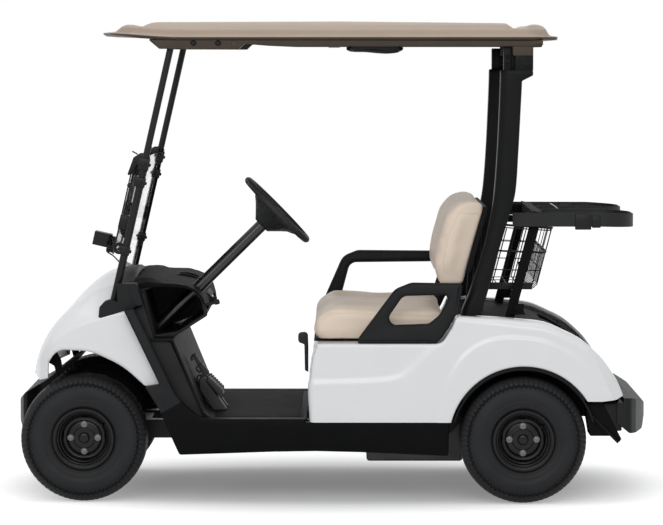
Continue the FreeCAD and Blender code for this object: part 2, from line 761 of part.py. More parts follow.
def make_front_body():
    half = s.cowl_half_width
    outside = hood_block(0)
    shell = outside.cut(hood_block(s.cowl_wall))
    pocket_y = s.strut_y - 32 - s.rest_gap
    pocket_x = s.post_head_x + 96 + s.rest_gap
    corner = block(s.cowl_back_x, pocket_x + s.cowl_wall, pocket_y - s.cowl_wall, WIDE, 690, WIDE)
    shell = shell.fuse(outside.common(both_sides(corner)))
    shell = shell.cut(side_prism(front_arch_outline(), -WIDE / 2, WIDE / 2))
    lip = [
        (s.front_axle_x + 40, 0),
        (s.front_axle_x + 40, s.cowl_lip_z + 20),
        (s.cowl_nose_x - 36, s.cowl_lip_z - 25),
        (s.cowl_nose_x + 20, s.cowl_lip_z + 6),
        (s.cowl_nose_x + 20, 0),
    ]
    shell = shell.cut(side_prism(lip, -WIDE / 2, WIDE / 2))
    behind = [
        (s.post_foot_x + 60, 0),
        (s.post_foot_x + 60, s.post_foot_z - 8),
        (s.post_foot_x + s.rest_gap, s.post_foot_z + s.rest_gap),
        (s.post_head_x + s.rest_gap, s.post_head_z),
        (s.cowl_back_x, s.post_head_z + 12),
        (s.cowl_back_x, WIDE),
        (0, WIDE),
        (0, 0),
    ]
    shell = shell.cut(side_prism(behind, -WIDE / 2, WIDE / 2))
    boot = side_prism(boot_outline(), s.strut_y - 32, half - 1)
    room = flat_face(boot_outline()).makeOffset2D(s.rest_gap)
    room.rotate(Vector(), Vector(1, 0, 0), 90)
    room.translate(Vector(0, pocket_y, 0))
    room = room.extrude(Vector(0, 200, 0))
    above = block(0, pocket_x, pocket_y, WIDE, s.post_head_z - 4, WIDE)
    shell = shell.cut(both_sides(room)).cut(both_sides(above))
    low, high = front_strut_line()
    boot = boot.cut(rod(low, high, s.strut_radius + s.rest_gap))
    feature("front_body", shell)
    feature("strut_boots", Part.makeCompound([boot, mirrored(boot)]))


def make_front_bumper():
    outside = [
        (s.rail_front_x + s.rest_gap, 240),
        (s.nose_x - 18, 248, 20),
        (s.nose_x, 275, 20),
        (s.nose_x - 2, 355, 30),
        (s.nose_x - 32, 388, 40),
        (s.cowl_nose_x - 44, 428, 40),
        (s.front_axle_x + 40, 524),
        (s.front_axle_x + 33, 514),
        (s.rail_front_x - 25, 410, 20),
        (s.rail_front_x + s.rest_gap, 392),
    ]
    tip = s.bumper_tip_y
    half = s.bumper_half_width
    plan = [
        (s.front_axle_x, half),
        (s.nose_x - 76, half, 20),
        (s.nose_x - 40, tip, 8),
        (s.nose_x - 24, tip, 8),
        (s.nose_x, half - 50, 200),
    ]
    plan += [(p[0], -p[1], *p[2:]) for p in reversed(plan)]
    bar = side_prism(outside, -WIDE / 2, WIDE / 2).common(plan_prism(plan, 0, WIDE))
    feature("front_bumper", bar)


# dashboard and controls


def column_point(along):
    """A point on the steering axis, measured down from the middle of the wheel."""
    return Vector(s.wheel_x + along * math.cos(column), s.column_y, s.wheel_z - along * math.sin(column))


def make_dashboard():
    """Top with two cup holders, two cheeks, a cabinet wall and the floor of its cubby."""
    half = s.dash_half_width
    front = s.cowl_back_x - s.rest_gap
    back = s.dash_rear_x
    top = s.dash_top_z
    under = s.dash_top_z - s.dash_thickness
    slab = side_prism([
        (front, under + 1),
        (front, top + 6),
        (front - 60, top + 8, 30),
        (back + 42, s.dash_rear_z + 8, 60),
        (back, s.dash_rear_z - 10, 20),
        (back - 8, s.dash_rear_z - 52, 16),
        (back + 30, under - 12, 20),
        (front - 30, under),
    ], -half, half)
    cheek = [
        (s.post_head_x - 20 - s.rest_gap, under + 4),
        (back - 6, under - 20),
        (back - 14, s.post_head_z - 16, 20),
        (s.toe_head_x - 30, s.shelf_z + 14, 20),
        (s.toe_head_x, s.shelf_z + s.rest_gap),
        (s.shelf_x - 16, s.shelf_z + s.rest_gap),
        (s.post_head_x - 20 - s.rest_gap, s.post_head_z - 14),
    ]
    wall = s.cheek_thickness
    pieces = [slab, side_prism(cheek, half - wall, half), side_prism(cheek, -half, wall - half)]
    pieces.append(side_prism(cheek, s.cabinet_side_y, s.cabinet_side_y + s.panel_thickness))
    cubby = [
        (s.shelf_x + 10, 650),
        (s.shelf_x + 10, 658),
        (back + 36, 676),
        (back + 10, 716, 20),
        (back - 2, 716),
        (back + 26, 668),
    ]
    pieces.append(side_prism(cubby, wall - half, s.cabinet_side_y + 2))
    dash = fused(pieces)
    for y in (-40, -150):
        dash = dash.cut(Part.makeCylinder(s.cup_radius, WIDE, Vector(back + 110, y, top + 4 - s.cup_depth)))
    bore = rod(column_point(0), column_point(WIDE), s.column_radius + s.rest_gap)
    lower = under_floor().common(block(0, WIDE, -WIDE, WIDE, 0, s.post_head_z + 20))
    feature("dashboard", dash.cut(bore).cut(lower))


def make_steering():
    depth = s.wheel_depth
    jacket = rod(column_point(depth + s.rest_gap), column_point(900), s.column_radius)
    jacket = jacket.cut(under_floor())
    jacket = jacket.cut(rod(column_point(0), column_point(depth + 60), 8 + s.running_gap))
    feature("steering_column", jacket)
    axis = Vector(-math.cos(column), 0, math.sin(column))
    rim = Part.makeTorus(s.wheel_rim_radius, s.wheel_grip_radius, column_point(0), axis)
    hub = Part.makeCone(30, 66, depth - 30, column_point(depth), axis)
    boss = Part.makeCylinder(66, 14, column_point(30.5), axis)
    stub = rod(column_point(depth - 10), column_point(depth + 40), 8)
    pieces = [rim, hub, boss, stub]
    forward = Vector(math.sin(column), 0, math.cos(column))
    across = Vector(0, 1, 0)
    for direction in (across, across * -1, forward * -1):
        start = column_point(24) + direction * 52
        end = column_point(0) + direction * s.wheel_rim_radius
        pieces.append(rod(start, end, 8))
    feature("steering_wheel", fused(pieces))


def make_small_controls():
    """Two floor pedals and the direction lever; none of them moves here."""
    pad = [
        (s.toe_foot_x - 68, s.floor_z + s.rest_gap),
        (s.toe_foot_x - 57, 372, 10),
        (s.toe_foot_x + 27, 497, 8),
        (s.toe_foot_x + 40, 526, 8),
        (s.toe_foot_x + 60, 514, 8),
        (s.toe_foot_x - 36, 370, 10),
        (s.toe_foot_x - 42, s.floor_z + s.rest_gap),
    ]
    brake = side_prism(pad, 200, 290)
    throttle = side_prism(pad, 100, 160)
    x = s.body_front_x - 1 + s.rest_gap
    lever = side_prism([
        (x, 440),
        (x + 14, 446, 6),
        (x + 16, 548, 8),
        (x + 40, 556, 14),
        (x + 40, 594, 14),
        (x + 2, 596, 14),
        (x - 1, 540, 10),
        (x, 500),
    ], -13, 13)
    feature("small_controls", Part.makeCompound([brake, throttle, lever]))


# rear body


def rear_body_outline():
    """Outside of the rear body from the side, without its wheel opening."""
    tail = s.fender_tail_x
    front = s.body_front_x
    return [
        (front - 6, s.sill_top_z + s.rest_gap),
        (front, 428, 300),
        (front - 8, 540, 200),
        (front - 24, s.seat_base_z, 8),
        (s.fender_front_x + 52, s.seat_base_z, 40),
        (s.fender_front_x + 14, 660, 60),
        (s.fender_front_x - 2, s.fender_top_z, 18),
        (s.fender_front_x - 160, 693, 400),
        (s.fender_front_x - 330, 678, 200),
        (s.fender_front_x - 468, 614, 250),
        (s.fender_front_x - 545, 542, 200),
        (s.fender_front_x - 598, 466, 200),
        (tail, s.fender_tail_z, 8),
        (tail + 25, 391),
        (tail + 80, 384),
        (rear_axle_x, 384),
        (rear_axle_x, s.sill_top_z + s.rest_gap),
    ]


def deck_outline():
    """Top of the black deck behind the seat, from the side."""
    x = s.fender_front_x
    return [
        (x + 9, 640),
        (x + 7, s.fender_top_z - 12, 10),
        (x - 110, s.fender_top_z - 14, 300),
        (x - 260, 672, 300),
        (x - 382, 630, 300),
        (x - 520, 546, 200),
        (s.fender_tail_x + 26, 440, 60),
        (s.fender_tail_x + 10, s.fender_tail_z + 6),
        (s.fender_tail_x + 10, 380),
        (s.engine_rear_x - 60, 380),
        (s.engine_rear_x - 60, 500),
        (x + 9, 500),
    ]


def deck_block(raised):
    """Everything under the deck's top, moved up by that much."""
    solid = side_prism(deck_outline(), -fender_inner_y, fender_inner_y)
    solid.translate(Vector(0, 0, raised))
    return solid


def make_rear_body():
    half = s.body_half_width
    wall = s.body_wall
    outside = side_prism(rear_body_outline(), -half, half)
    inside = flat_face(rear_body_outline()).makeOffset2D(-wall)
    inside.rotate(Vector(), Vector(1, 0, 0), 90)
    inside.translate(Vector(0, wall - half, 0))
    inside = inside.extrude(Vector(0, 2 * (half - wall), 0))
    shell = outside.cut(inside)
    low = block(-WIDE, s.body_front_x - 24, wall - half, half - wall, 0, 500)
    shell = shell.cut(low)
    arch = Part.makeCylinder(s.arch_radius, WIDE, Vector(rear_axle_x, -WIDE / 2, hub_z), Vector(0, 1, 0))
    shell = shell.cut(arch)
    shell = shell.cut(block(s.fender_front_x + 90, 30, -s.seat_opening_y, s.seat_opening_y, 0, WIDE))
    shell = shell.cut(block(-WIDE, s.fender_front_x + 10, -fender_inner_y, fender_inner_y, 0, WIDE))
    ears = []
    pin_z = seat_hinge_z
    for side in (1, -1):
        ys = sorted((side * (s.seat_pan_half_width + 5), side * (s.seat_pan_half_width + 15)))
        ear = block(s.seat_hinge_x - 7, s.seat_hinge_x + 3, ys[0], ys[1], s.seat_base_z - 4, pin_z + 4)
        ears.append(ear)
    shell = fused([shell] + ears)
    pin = rod(Vector(s.seat_hinge_x, -half, pin_z), Vector(s.seat_hinge_x, half, pin_z),
              s.hinge_pin_radius + s.running_gap)
    feature("rear_body", shell.cut(pin))


def make_arch_liners():
    """Black liner around the inboard part of each rear tyre."""
    outer = s.arch_radius - s.liner_gap
    inner = outer - s.panel_thickness
    y_in = s.rear_track / 2 - s.tyre_width / 2 - 24
    y_out = s.body_half_width - s.body_wall - s.rest_gap
    at = Vector(rear_axle_x, y_in, hub_z)
    across = Vector(0, 1, 0)
    drum = Part.makeCylinder(outer, y_out - y_in, at, across)
    hollow = Part.makeCylinder(inner, y_out - y_in, at + across * s.panel_thickness, across)
    liner = drum.cut(hollow)
    liner = liner.cut(block(-WIDE, WIDE, 0, WIDE, -WIDE, hub_z + 70))
    liner = liner.cut(Part.makeCylinder(s.axle_tube_radius + 45, 60, at - across * 20, across))
    flange = Part.makeCylinder(s.arch_radius + 14, s.panel_thickness - 2, at + across * (y_out - y_in - 6), across)
    flange = flange.cut(Part.makeCylinder(inner, 40, at + across * (y_out - y_in - 10), across))
    flange = flange.cut(block(-WIDE, WIDE, 0, WIDE, -WIDE, hub_z + 152))
    flap = flat_bar((rear_axle_x - 256, 326), (rear_axle_x - 352, 228), s.panel_thickness, y_in, y_out - 20)
    left = fused([liner, flange, flap])
    feature("arch_liners", Part.makeCompound([left, mirrored(left)]))


def make_rear_deck():
    """Bent sheet behind the seat with two wells for golf bags."""
    wall = s.panel_thickness
    gap = s.rest_gap
    solid = deck_block(0).common(block(-WIDE, WIDE, gap - fender_inner_y, fender_inner_y - gap, 0, WIDE))
    under = deck_block(-wall).common(block(s.fender_tail_x + 10 + wall, s.fender_front_x + 9 - wall,
                                           -WIDE, WIDE, 0, WIDE))
    sheet = solid.cut(under)
    tubs = []
    rooms = []
    for side in (1, -1):
        r = s.bag_well_radius
        x_rear = s.bag_well_x - r
        x_front = s.bag_well_x + r
        ys = sorted((side * (s.bag_well_y - r), side * (s.bag_well_y + r)))
        tubs.append(block(x_rear - wall + 1, x_front + wall, ys[0] - wall, ys[1] + wall, s.bag_well_z - wall, 700))
        rooms.append(block(x_rear, x_front, ys[0], ys[1], s.bag_well_z, WIDE))
    filled = fused(tubs).common(deck_block(0))
    deck = fused([sheet, filled])
    for room in rooms:
        deck = deck.cut(room)
    feature("rear_deck", deck)


def make_rear_bumper():
    tail = s.tail_x
    rail = s.rail_rear_x - s.rest_gap
    body = s.fender_tail_x - s.rest_gap
    outside = [
        (rail, 300),
        (rail, 376),
        (body - 2, 376),
        (body - 2, 394),
        (body - 34, 392, 12),
        (tail + 30, 370, 30),
        (tail, 335, 30),
        (tail, 290, 30),
        (tail + 20, 258, 20),
        (tail + 92, 262, 20),
    ]
    half = s.body_half_width - 44
    plan = [
        (rail + 5, half),
        (tail + 90, half, 30),
        (tail + 64, half - 50, 60),
        (tail + 28, half - 220, 300),
        (tail, 110, 300),
    ]
    plan += [(p[0], -p[1], *p[2:]) for p in reversed(plan)]
    bar = side_prism(outside, -WIDE / 2, WIDE / 2).common(plan_prism(plan, 0, WIDE))
    feature("rear_bumper", bar)


# seat


def make_seat():
    half = s.cushion_half_width
    base = s.seat_base_z + s.rest_gap
    pan_top = base + s.seat_pan_thickness
    r = s.seat_pan_thickness / 2
    pan = [
        (s.seat_hinge_x, pan_top),
        (s.cushion_rear_x + 54, pan_top),
        (s.cushion_rear_x + 54, base),
        (s.seat_hinge_x, base),
    ]
    board = side_prism(pan, -s.seat_pan_half_width, s.seat_pan_half_width)
    nose = Vector(s.seat_hinge_x, -s.seat_pan_half_width, seat_hinge_z)
    board = fused([board, Part.makeCylinder(r, 2 * s.seat_pan_half_width, nose, Vector(0, 1, 0))])
    for side in (1, -1):
        start = Vector(s.seat_hinge_x, side * (s.seat_pan_half_width - 5), seat_hinge_z)
        end = Vector(s.seat_hinge_x, side * (s.seat_pan_half_width + 17), seat_hinge_z)
        board = board.fuse(rod(start, end, s.hinge_pin_radius))
    feature("seat_pan", board.removeSplitter())
    z = pan_top + s.rest_gap
    top = s.cushion_top_z
    cushion = side_prism([
        (s.seat_hinge_x, z, 6),
        (s.cushion_front_x, z + 30, 24),
        (s.cushion_front_x - 14, z + 82, 50),
        (s.cushion_front_x - 84, top, 70),
        (-200, top - 14, 600),
        (s.cushion_rear_x + 60, top - 22, 80),
        (s.cushion_rear_x + 8, top - 40, 34),
        (s.cushion_rear_x + 42, z, 16),
    ], -half, half)
    for side in (1, -1):
        near = Vector(s.seat_hinge_x, side * (s.seat_pan_half_width - 1), seat_hinge_z)
        far = Vector(s.seat_hinge_x, side * (s.seat_pan_half_width + 21), seat_hinge_z)
        cushion = cushion.cut(rod(near, far, 13.5))
    feature("seat_cushion", cushion)


def back_rear_line(z):
    """X of the seat back's rear face at that height."""
    return -489 - (z - 816) * 0.272


def make_seat_back():
    top = s.back_top_z
    low = s.back_bottom_z
    back = side_prism([
        (-416, low, 16),
        (-384, low + 72, 60),
        (-398, low + 156, 300),
        (-430, low + 266, 100),
        (-472, top - 14, 60),
        (-528, top, 40),
        (back_rear_line(top - 20), top - 20, 26),
        (back_rear_line(low + 30), low + 30, 30),
        (-462, low, 12),
    ], -s.back_half_width, s.back_half_width)
    feature("seat_back", back)
    wall = 18
    gap = s.rest_gap
    shell = side_prism([
        (back_rear_line(low + 50) - gap, low + 50),
        (back_rear_line(low + 300) - gap, low + 300),
        (back_rear_line(low + 300) - wall, low + 300, 8),
        (back_rear_line(low + 50) - wall, low + 50, 8),
    ], -s.back_half_width + 22, s.back_half_width - 22)
    legs = []
    for side in (1, -1):
        ys = sorted((side * 250, side * 292))
        legs.append(flat_bar((-532, 650), (back_rear_line(1000) - wall, 1000), 20, ys[0], ys[1]))
    frame = fused([shell] + legs)
    slab = side_prism([
        (back_rear_line(low - 300), low - 300),
        (back_rear_line(low + 400), low + 400),
        (0, low + 400),
        (0, low - 300),
    ], -WIDE / 2, WIDE / 2)
    slab.translate(Vector(-gap, 0, 0))
    frame = frame.cut(slab).cut(deck_block(gap))
    feature("backrest_frame", frame)


def arm_outline(front_low, front_high, top_z):
    """Armrest from the side: outer loop and the loop of its opening."""
    bar = s.arm_bar
    base = s.seat_base_z + s.rest_gap
    rear = s.fender_front_x
    post = front_low - 52
    outer = [
        (front_low, base),
        (front_low, base + 18, 20),
        (front_high, top_z - 24, 60),
        (front_high - 60, top_z, 50),
        (rear - 26, top_z - 3, 12),
        (rear - 10, s.fender_top_z + 14, 20),
        (rear + 8, s.fender_top_z - 8, 14),
        (rear + 24, 659, 60),
        (rear + 58, 612, 30),
        (rear + 76, base),
    ]
    hole = [
        (front_high - 40, top_z - bar - 8, 34),
        (rear + 22, top_z - bar - 4, 14),
        (rear + 62, 704, 40),
        (rear + 100, 672, 30),
        (post - 40, 666, 26),
    ]
    return [outer, hole]


def make_armrests():
    left = arm_outline(s.fender_front_x + 363, s.fender_front_x + 226, 825)
    right = arm_outline(s.fender_front_x + 488, s.fender_front_x + 400, 882)
    side_body("armrest_left", left, "sizes.arm_outer_y", "sizes.arm_thickness")
    side_body("armrest_right", right, "-(sizes.arm_outer_y - sizes.arm_thickness)", "sizes.arm_thickness")


# canopy


def rear_strut_outline():
    """Rear strut from the side."""
    w = s.rear_strut_width
    top = s.rail_under_roof_z - s.rest_gap
    base = s.fender_top_z + s.rest_gap
    front = [(-634, top), (-629, 1600, 200), (-612, 1300), (-602, 1159, 400), (-592, 1088, 300), (-560, 945, 900),
             (-513, 794), (-478, base)]
    rear = [(-556, base), (-580, 794, 200), (-620, 945, 900), (-662, 1088, 300), (-602 - w, 1159, 400),
            (-612 - w, 1300), (-629 - w, 1590, 20), (-744, 1600, 20), (-744, top)]
    return front + rear


def make_struts():
    low, high = front_strut_line()
    strut = rod(low, high, s.strut_radius)
    strut = strut.cut(block(-WIDE, WIDE, -WIDE, WIDE, s.rail_under_roof_z - s.rest_gap, 2 * WIDE))
    feature("front_struts", Part.makeCompound([strut, mirrored(strut)]))
    outer = "sizes.rear_strut_inner_y + sizes.rear_strut_thickness"
    side_pair("rear_struts", [rear_strut_outline()], outer, "sizes.rear_strut_thickness")


def roof_block(inset):
    """The roof's outside, or with an inset its inside, as one solid."""
    edge = s.roof_edge_z
    top = s.roof_top_z
    front = s.roof_front_x
    rear = s.roof_rear_x
    side = [
        (front, edge - 60),
        (front - 2, top - 44, 14),
        (front - 72, top - 38, 12),
        (front - 96, top - 14, 12),
        (front - 156, top - 18, 30),
        (front - 184, top - 6, 30),
        (-28, top, 6000),
        (rear + 188, top - 9, 20),
        (rear + 172, top - 22, 10),
        (rear + 126, top - 23, 10),
        (rear + 104, top - 12, 12),
        (rear + 62, top - 14, 14),
        (rear + 40, top - 38, 12),
        (rear, top - 62, 12),
        (rear, edge - 60),
    ]
    half = s.roof_half_width
    plan = [
        (front - 130, -half, 120),
        (front - 40, -half + 70, 90),
        (front, -half + 200, 300),
        (front, half - 200, 300),
        (front - 40, half - 70, 90),
        (front - 130, half, 120),
        (rear + 80, half, 90),
        (rear, half - 90, 90),
        (rear, -half + 90, 90),
        (rear + 80, -half, 90),
    ]
    across = [
        (-half, edge - 60),
        (-half, edge + 16, 10),
        (-half + 90, top - 14, 120),
        (-half + 190, top + 22),
        (half - 190, top + 22),
        (half - 90, top - 14, 120),
        (half, edge + 16, 10),
        (half, edge - 60),
    ]
    solids = []
    for points in (side, plan, across):
        face = flat_face(points)
        if inset:
            face = face.makeOffset2D(-inset)
        solids.append(face)
    side_face, plan_face, across_face = solids
    side_face.rotate(Vector(), Vector(1, 0, 0), 90)
    side_face.translate(Vector(0, WIDE / 2, 0))
    across_face.rotate(Vector(), Vector(1, 1, 1), 120)
    across_face.translate(Vector(-WIDE, 0, 0))
    solid = side_face.extrude(Vector(0, -WIDE, 0)).common(plan_face.extrude(Vector(0, 0, 2 * WIDE)))
    return solid.common(across_face.extrude(Vector(2 * WIDE, 0, 0)))


def make_roof():
    roof = roof_block(0).cut(roof_block(s.panel_thickness))
    roof = roof.cut(block(-WIDE, WIDE, -WIDE, WIDE, 0, s.roof_edge_z))
    roof_rails = []
    y_out = s.roof_half_width - s.panel_thickness - 4
    for side in (1, -1):
        ys = sorted((side * (s.strut_y - 20), side * y_out))
        roof_rails.append(block(-780, 672, ys[0], ys[1], s.rail_under_roof_z, s.roof_edge_z - s.rest_gap))
    for x in (626, -28, -780):
        roof_rails.append(block(x, x + s.cross_width, -s.strut_y, s.strut_y,
                                s.rail_under_roof_z, s.roof_edge_z - s.rest_gap))
    rails = fused(roof_rails)
    feature("roof", roof)
    feature("roof_rails", rails)
    y = s.strut_y - 20 - s.rest_gap
    z = s.rail_under_roof_z
    grip = plan_prism([
        (-58, y),
        (-66, y - 40, 16),
        (-251, y - 40, 16),
        (-259, y),
        (-243, y),
        (-237, y - 26, 8),
        (-80, y - 26, 8),
        (-74, y),
    ], z - 14, z + 8)
    feature("roof_handles", Part.makeCompound([grip, mirrored(grip)]))


# windscreen


def screen_bar(z_from, z_to, ahead, thickness, y_from, y_to):
    """A piece parallel to the front struts, a distance ahead of their axes."""
    up = Vector(-math.sin(lean), 0, math.cos(lean))
    front = Vector(math.cos(lean), 0, math.sin(lean))
    foot = Vector(s.strut_foot_x, 0, s.strut_foot_z)
    ends = []
    for z in (z_from, z_to):
        ends.append(foot + up * ((z - s.strut_foot_z) / up.z) + front * ahead)
    start, end = ends
    return flat_bar((start.x, start.z), (end.x, end.z), thickness, y_from, y_to)


def make_windscreen():
    t = s.pane_thickness
    half = s.pane_half_width
    fold = s.pane_fold_z
    lower = screen_bar(800, fold, 0, t, -half, half)
    roofline = hood_block(-s.rest_gap)
    lower = lower.cut(roofline)
    upper = screen_bar(916, fold - 6, s.pane_fold_gap, t, -half, half)
    feature("windscreen_lower", lower)
    feature("windscreen_upper", upper)
    gap = s.rest_gap
    hinges = []
    clips = []
    for side in (1, -1):
        ys = sorted((side * (half - 90), side * (half - 40)))
        hinges.append(screen_bar(fold - 70, fold - 20, (s.pane_fold_gap) / 2, s.pane_fold_gap - t - 2 * gap,
                                 ys[0], ys[1]))
        inner = half + gap
        outer = s.strut_y - s.strut_radius - gap
        for z in (900, 1230):
            ys = sorted((side * inner, side * outer))
            clips.append(screen_bar(z, z + 44, 0, 22, ys[0], ys[1]))
    ahead = s.pane_fold_gap + t / 2 + gap
    holder = screen_bar(916, 976, ahead + 13, 26, half - 74, half - 50)
    tray = fused([holder, screen_bar(932, 982, ahead + 50, 66, half - 96, half - 28)])
    feature("screen_fittings", Part.makeCompound(hinges + clips + [tray]))


# luggage


def make_rack():
    """Bag rack: two uprights, a cross bar and the lugs that hold the basket."""
    w = s.rack_upright_width
    y = s.rack_upright_y
    top = s.rack_top_z
    shapes = []
    for side in (1, -1):
        ys = sorted((side * (y - w / 2), side * (y + w / 2)))
        shapes.append(flat_bar((-662, 680), (-769, top), w, ys[0], ys[1]))
    shapes.append(block(-769 - w / 2, -769 + w / 2, -y - w / 2, y + w / 2, top - 32, top))
    for side in (1, -1):
        ys = sorted((side * (s.basket_half_width + s.rest_gap), side * (y - w / 2 + 4)))
        shapes.append(block(-722, -698, ys[0], ys[1], 868, 892))
    rack = fused(shapes).cut(deck_block(s.rest_gap))
    feature("bag_rack", rack)


def strap_shape():
    """Left bag strap: a band from the rear strut round the bag to the rack's cross bar."""
    t = s.strap_thickness
    y_out = s.rear_strut_inner_y + 16
    y_in = 110
    rear = s.strap_rear_x
    front = -769 - s.rack_upright_width / 2 - s.rest_gap
    path = [
        (-672, y_out),
        (rear, y_out, 120),
        (rear, y_in, 120),
        (front, y_in),
        (front, y_in + t),
        (rear + t, y_in + t, 114),
        (rear + t, y_out - t, 114),
        (-672, y_out - t),
    ]
    return plan_prism(path, s.rack_top_z - s.strap_height, s.rack_top_z)


def make_straps():
    left = strap_shape()
    feature("bag_straps", Part.makeCompound([left, mirrored(left)]))


def make_basket():
    """Open basket with coarse windows, its sides leaning back like the struts."""
    half = s.basket_half_width
    depth = s.basket_depth
    low = s.basket_bottom_z
    high = low + s.basket_height
    w = s.basket_wire
    drift = s.basket_height * math.tan(lean) + 4
    front = s.basket_front_x
    outside = [(front, low), (front - depth, low), (front - depth - drift, high - 12), (front - drift, high)]
    lift = w / (s.basket_height - 12)
    inside = [
        (front - w - drift * lift, low + w),
        (front - depth + w - drift * lift, low + w),
        (front - depth - 2 * drift + w, high - 12 + s.basket_height),
        (front - w - 2 * drift, high + s.basket_height),
    ]
    shell = side_prism(outside, -half, half).cut(side_prism(inside, w - half, half - w))
    cuts = []
    pitch = 2 * s.basket_pitch
    columns = int((2 * half - 30) / pitch)
    start = -columns * pitch / 2
    tier = 56
    for i in range(columns):
        y = start + i * pitch
        for z in (low + 36, low + 36 + tier + 8, low + 36 + 2 * tier + 16):
            cuts.append(block(front - WIDE / 2, front + WIDE / 2, y + w, y + pitch - w, z, z + tier))
        for x in (front - depth + 14, front - depth / 2 + 4):
            cuts.append(block(x, x + 74, y + w, y + pitch - w, low - 10, low + w + 8))
    shell = shell.cut(Part.makeCompound(cuts))
    feature("basket", shell)


# build

make_wheels()
make_front_axle()
make_knuckles()
make_tie_rod()
make_rear_axle()
make_chassis()
make_engine()
make_floor_and_sills()
make_front_body()
make_front_bumper()
make_dashboard()
make_steering()
make_small_controls()
make_rear_body()
make_arch_liners()
make_rear_deck()
make_rear_bumper()
make_seat()
make_seat_back()
make_armrests()
make_struts()
make_roof()
make_windscreen()
make_rack()
make_straps()
make_basket()
doc.recompute()

os.makedirs("parts", exist_ok=True)
for label, piece in parts.items():
    if "Invalid" in piece.State or "Error" in piece.State:
        raise RuntimeError(f"{label} did not build")
    if piece.Shape.isNull() or not piece.Shape.isValid():
        raise RuntimeError(f"{label} has no valid shape")
for label, piece in parts.items():
    piece.Shape.exportStep(f"parts/{label}.step")
print(len(parts), "sub-parts")
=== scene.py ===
"""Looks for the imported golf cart: materials, tyres, body skins, cushions, luggage parts and small fittings."""
import math

import bmesh
import bpy
import numpy as np
from mathutils import Matrix, Vector


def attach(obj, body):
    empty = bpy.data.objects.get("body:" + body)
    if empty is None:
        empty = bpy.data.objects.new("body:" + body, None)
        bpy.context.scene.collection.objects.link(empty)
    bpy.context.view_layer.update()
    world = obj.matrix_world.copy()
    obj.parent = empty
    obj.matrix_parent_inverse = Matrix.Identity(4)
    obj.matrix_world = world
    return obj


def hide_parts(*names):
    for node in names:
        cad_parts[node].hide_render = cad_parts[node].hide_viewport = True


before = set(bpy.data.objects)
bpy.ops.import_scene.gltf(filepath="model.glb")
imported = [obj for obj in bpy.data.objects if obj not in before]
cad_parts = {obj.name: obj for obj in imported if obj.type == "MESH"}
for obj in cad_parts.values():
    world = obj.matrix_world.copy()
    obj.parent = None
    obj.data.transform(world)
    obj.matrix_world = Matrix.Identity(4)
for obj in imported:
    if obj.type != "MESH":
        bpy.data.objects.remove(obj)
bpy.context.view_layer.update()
MM = 0.001
scene = bpy.context.scene


# materials

TINT_SCALE, SMUDGE_SCALE = 9.0, 24.3
WEAR_AND_HIGHLIGHT_FROM, WEAR_AND_HIGHLIGHT_TO = 0.53, 0.62
GRAIN_DEPTH = 0.0006


def add_node(tree, kind, inputs=None, **settings):
    """Adds a shader node. An input is a value, or the output of another node, which is then linked."""
    node = tree.nodes.new(kind)
    for key, value in settings.items():
        setattr(node, key, value)
    for key, value in (inputs or {}).items():
        if isinstance(value, bpy.types.NodeSocket):
            tree.links.new(value, node.inputs[key])
        else:
            node.inputs[key].default_value = value
    return node


def shader(name, color, rough, specular, tint, grain, grain_scale, metallic=0.0, coat=0.0, coat_rough=0.05,
           edge_wear_and_highlight=0.0, edge_wear_and_highlight_color=(0.3, 0.3, 0.3), rough_spread=0.08, sheen=0.0, cells=False):
    """Principled material whose colour, roughness and bump vary with procedural noise; its lighter convex edges
    are partly wear, partly painted highlight.
    """
    mat = bpy.data.materials.new(name)
    mat.use_nodes = True
    tree = mat.node_tree
    at = add_node(tree, "ShaderNodeTexCoord").outputs["Object"]
    cloud = add_node(tree, "ShaderNodeTexNoise", {"Scale": TINT_SCALE, "Detail": 4.0, "Vector": at})
    tones = add_node(tree, "ShaderNodeValToRGB", {"Fac": cloud.outputs["Fac"]})
    for stop, place, share in zip(tones.color_ramp.elements, (0.3, 0.7), (1 - tint, 1 + tint)):
        stop.position = place
        stop.color = [min(1, c * share) for c in color] + [1]
    tone = tones.outputs["Color"]
    # Convex edges take a lighter colour: partly edge wear, partly a painted highlight along them.
    if edge_wear_and_highlight:
        edge = add_node(tree, "ShaderNodeMapRange", {
            "From Min": WEAR_AND_HIGHLIGHT_FROM, "From Max": WEAR_AND_HIGHLIGHT_TO, "To Max": edge_wear_and_highlight,
            "Value": add_node(tree, "ShaderNodeNewGeometry").outputs["Pointiness"]})
        mix = add_node(tree, "ShaderNodeMix", {
            "Factor": edge.outputs["Result"], "A": tone, "B": [*edge_wear_and_highlight_color, 1]}, data_type="RGBA")
        tone = mix.outputs["Result"]
    smudge = add_node(tree, "ShaderNodeTexNoise", {"Scale": SMUDGE_SCALE, "Detail": 6.0, "Vector": at})
    spread = add_node(tree, "ShaderNodeMapRange", {
        "To Min": max(0.02, rough - rough_spread), "To Max": min(1.0, rough + rough_spread),
        "Value": smudge.outputs["Fac"]})
    surface = tree.nodes["Principled BSDF"].inputs
    for key, value in (("Metallic", metallic), ("Specular IOR Level", specular), ("Coat Weight", coat),
                       ("Coat Roughness", coat_rough), ("Sheen Weight", sheen)):
        surface[key].default_value = value
    tree.links.new(tone, surface["Base Color"])
    tree.links.new(spread.outputs["Result"], surface["Roughness"])
    if cells:
        fine = add_node(tree, "ShaderNodeTexVoronoi", {"Scale": grain_scale, "Vector": at},
                        feature="DISTANCE_TO_EDGE")
    else:
        fine = add_node(tree, "ShaderNodeTexNoise", {"Scale": grain_scale, "Detail": 3.0, "Vector": at})
    bump = add_node(tree, "ShaderNodeBump", {
        "Strength": grain, "Distance": GRAIN_DEPTH, "Height": fine.outputs["Distance" if cells else "Fac"]})
    tree.links.new(bump.outputs["Normal"], surface["Normal"])
    return mat


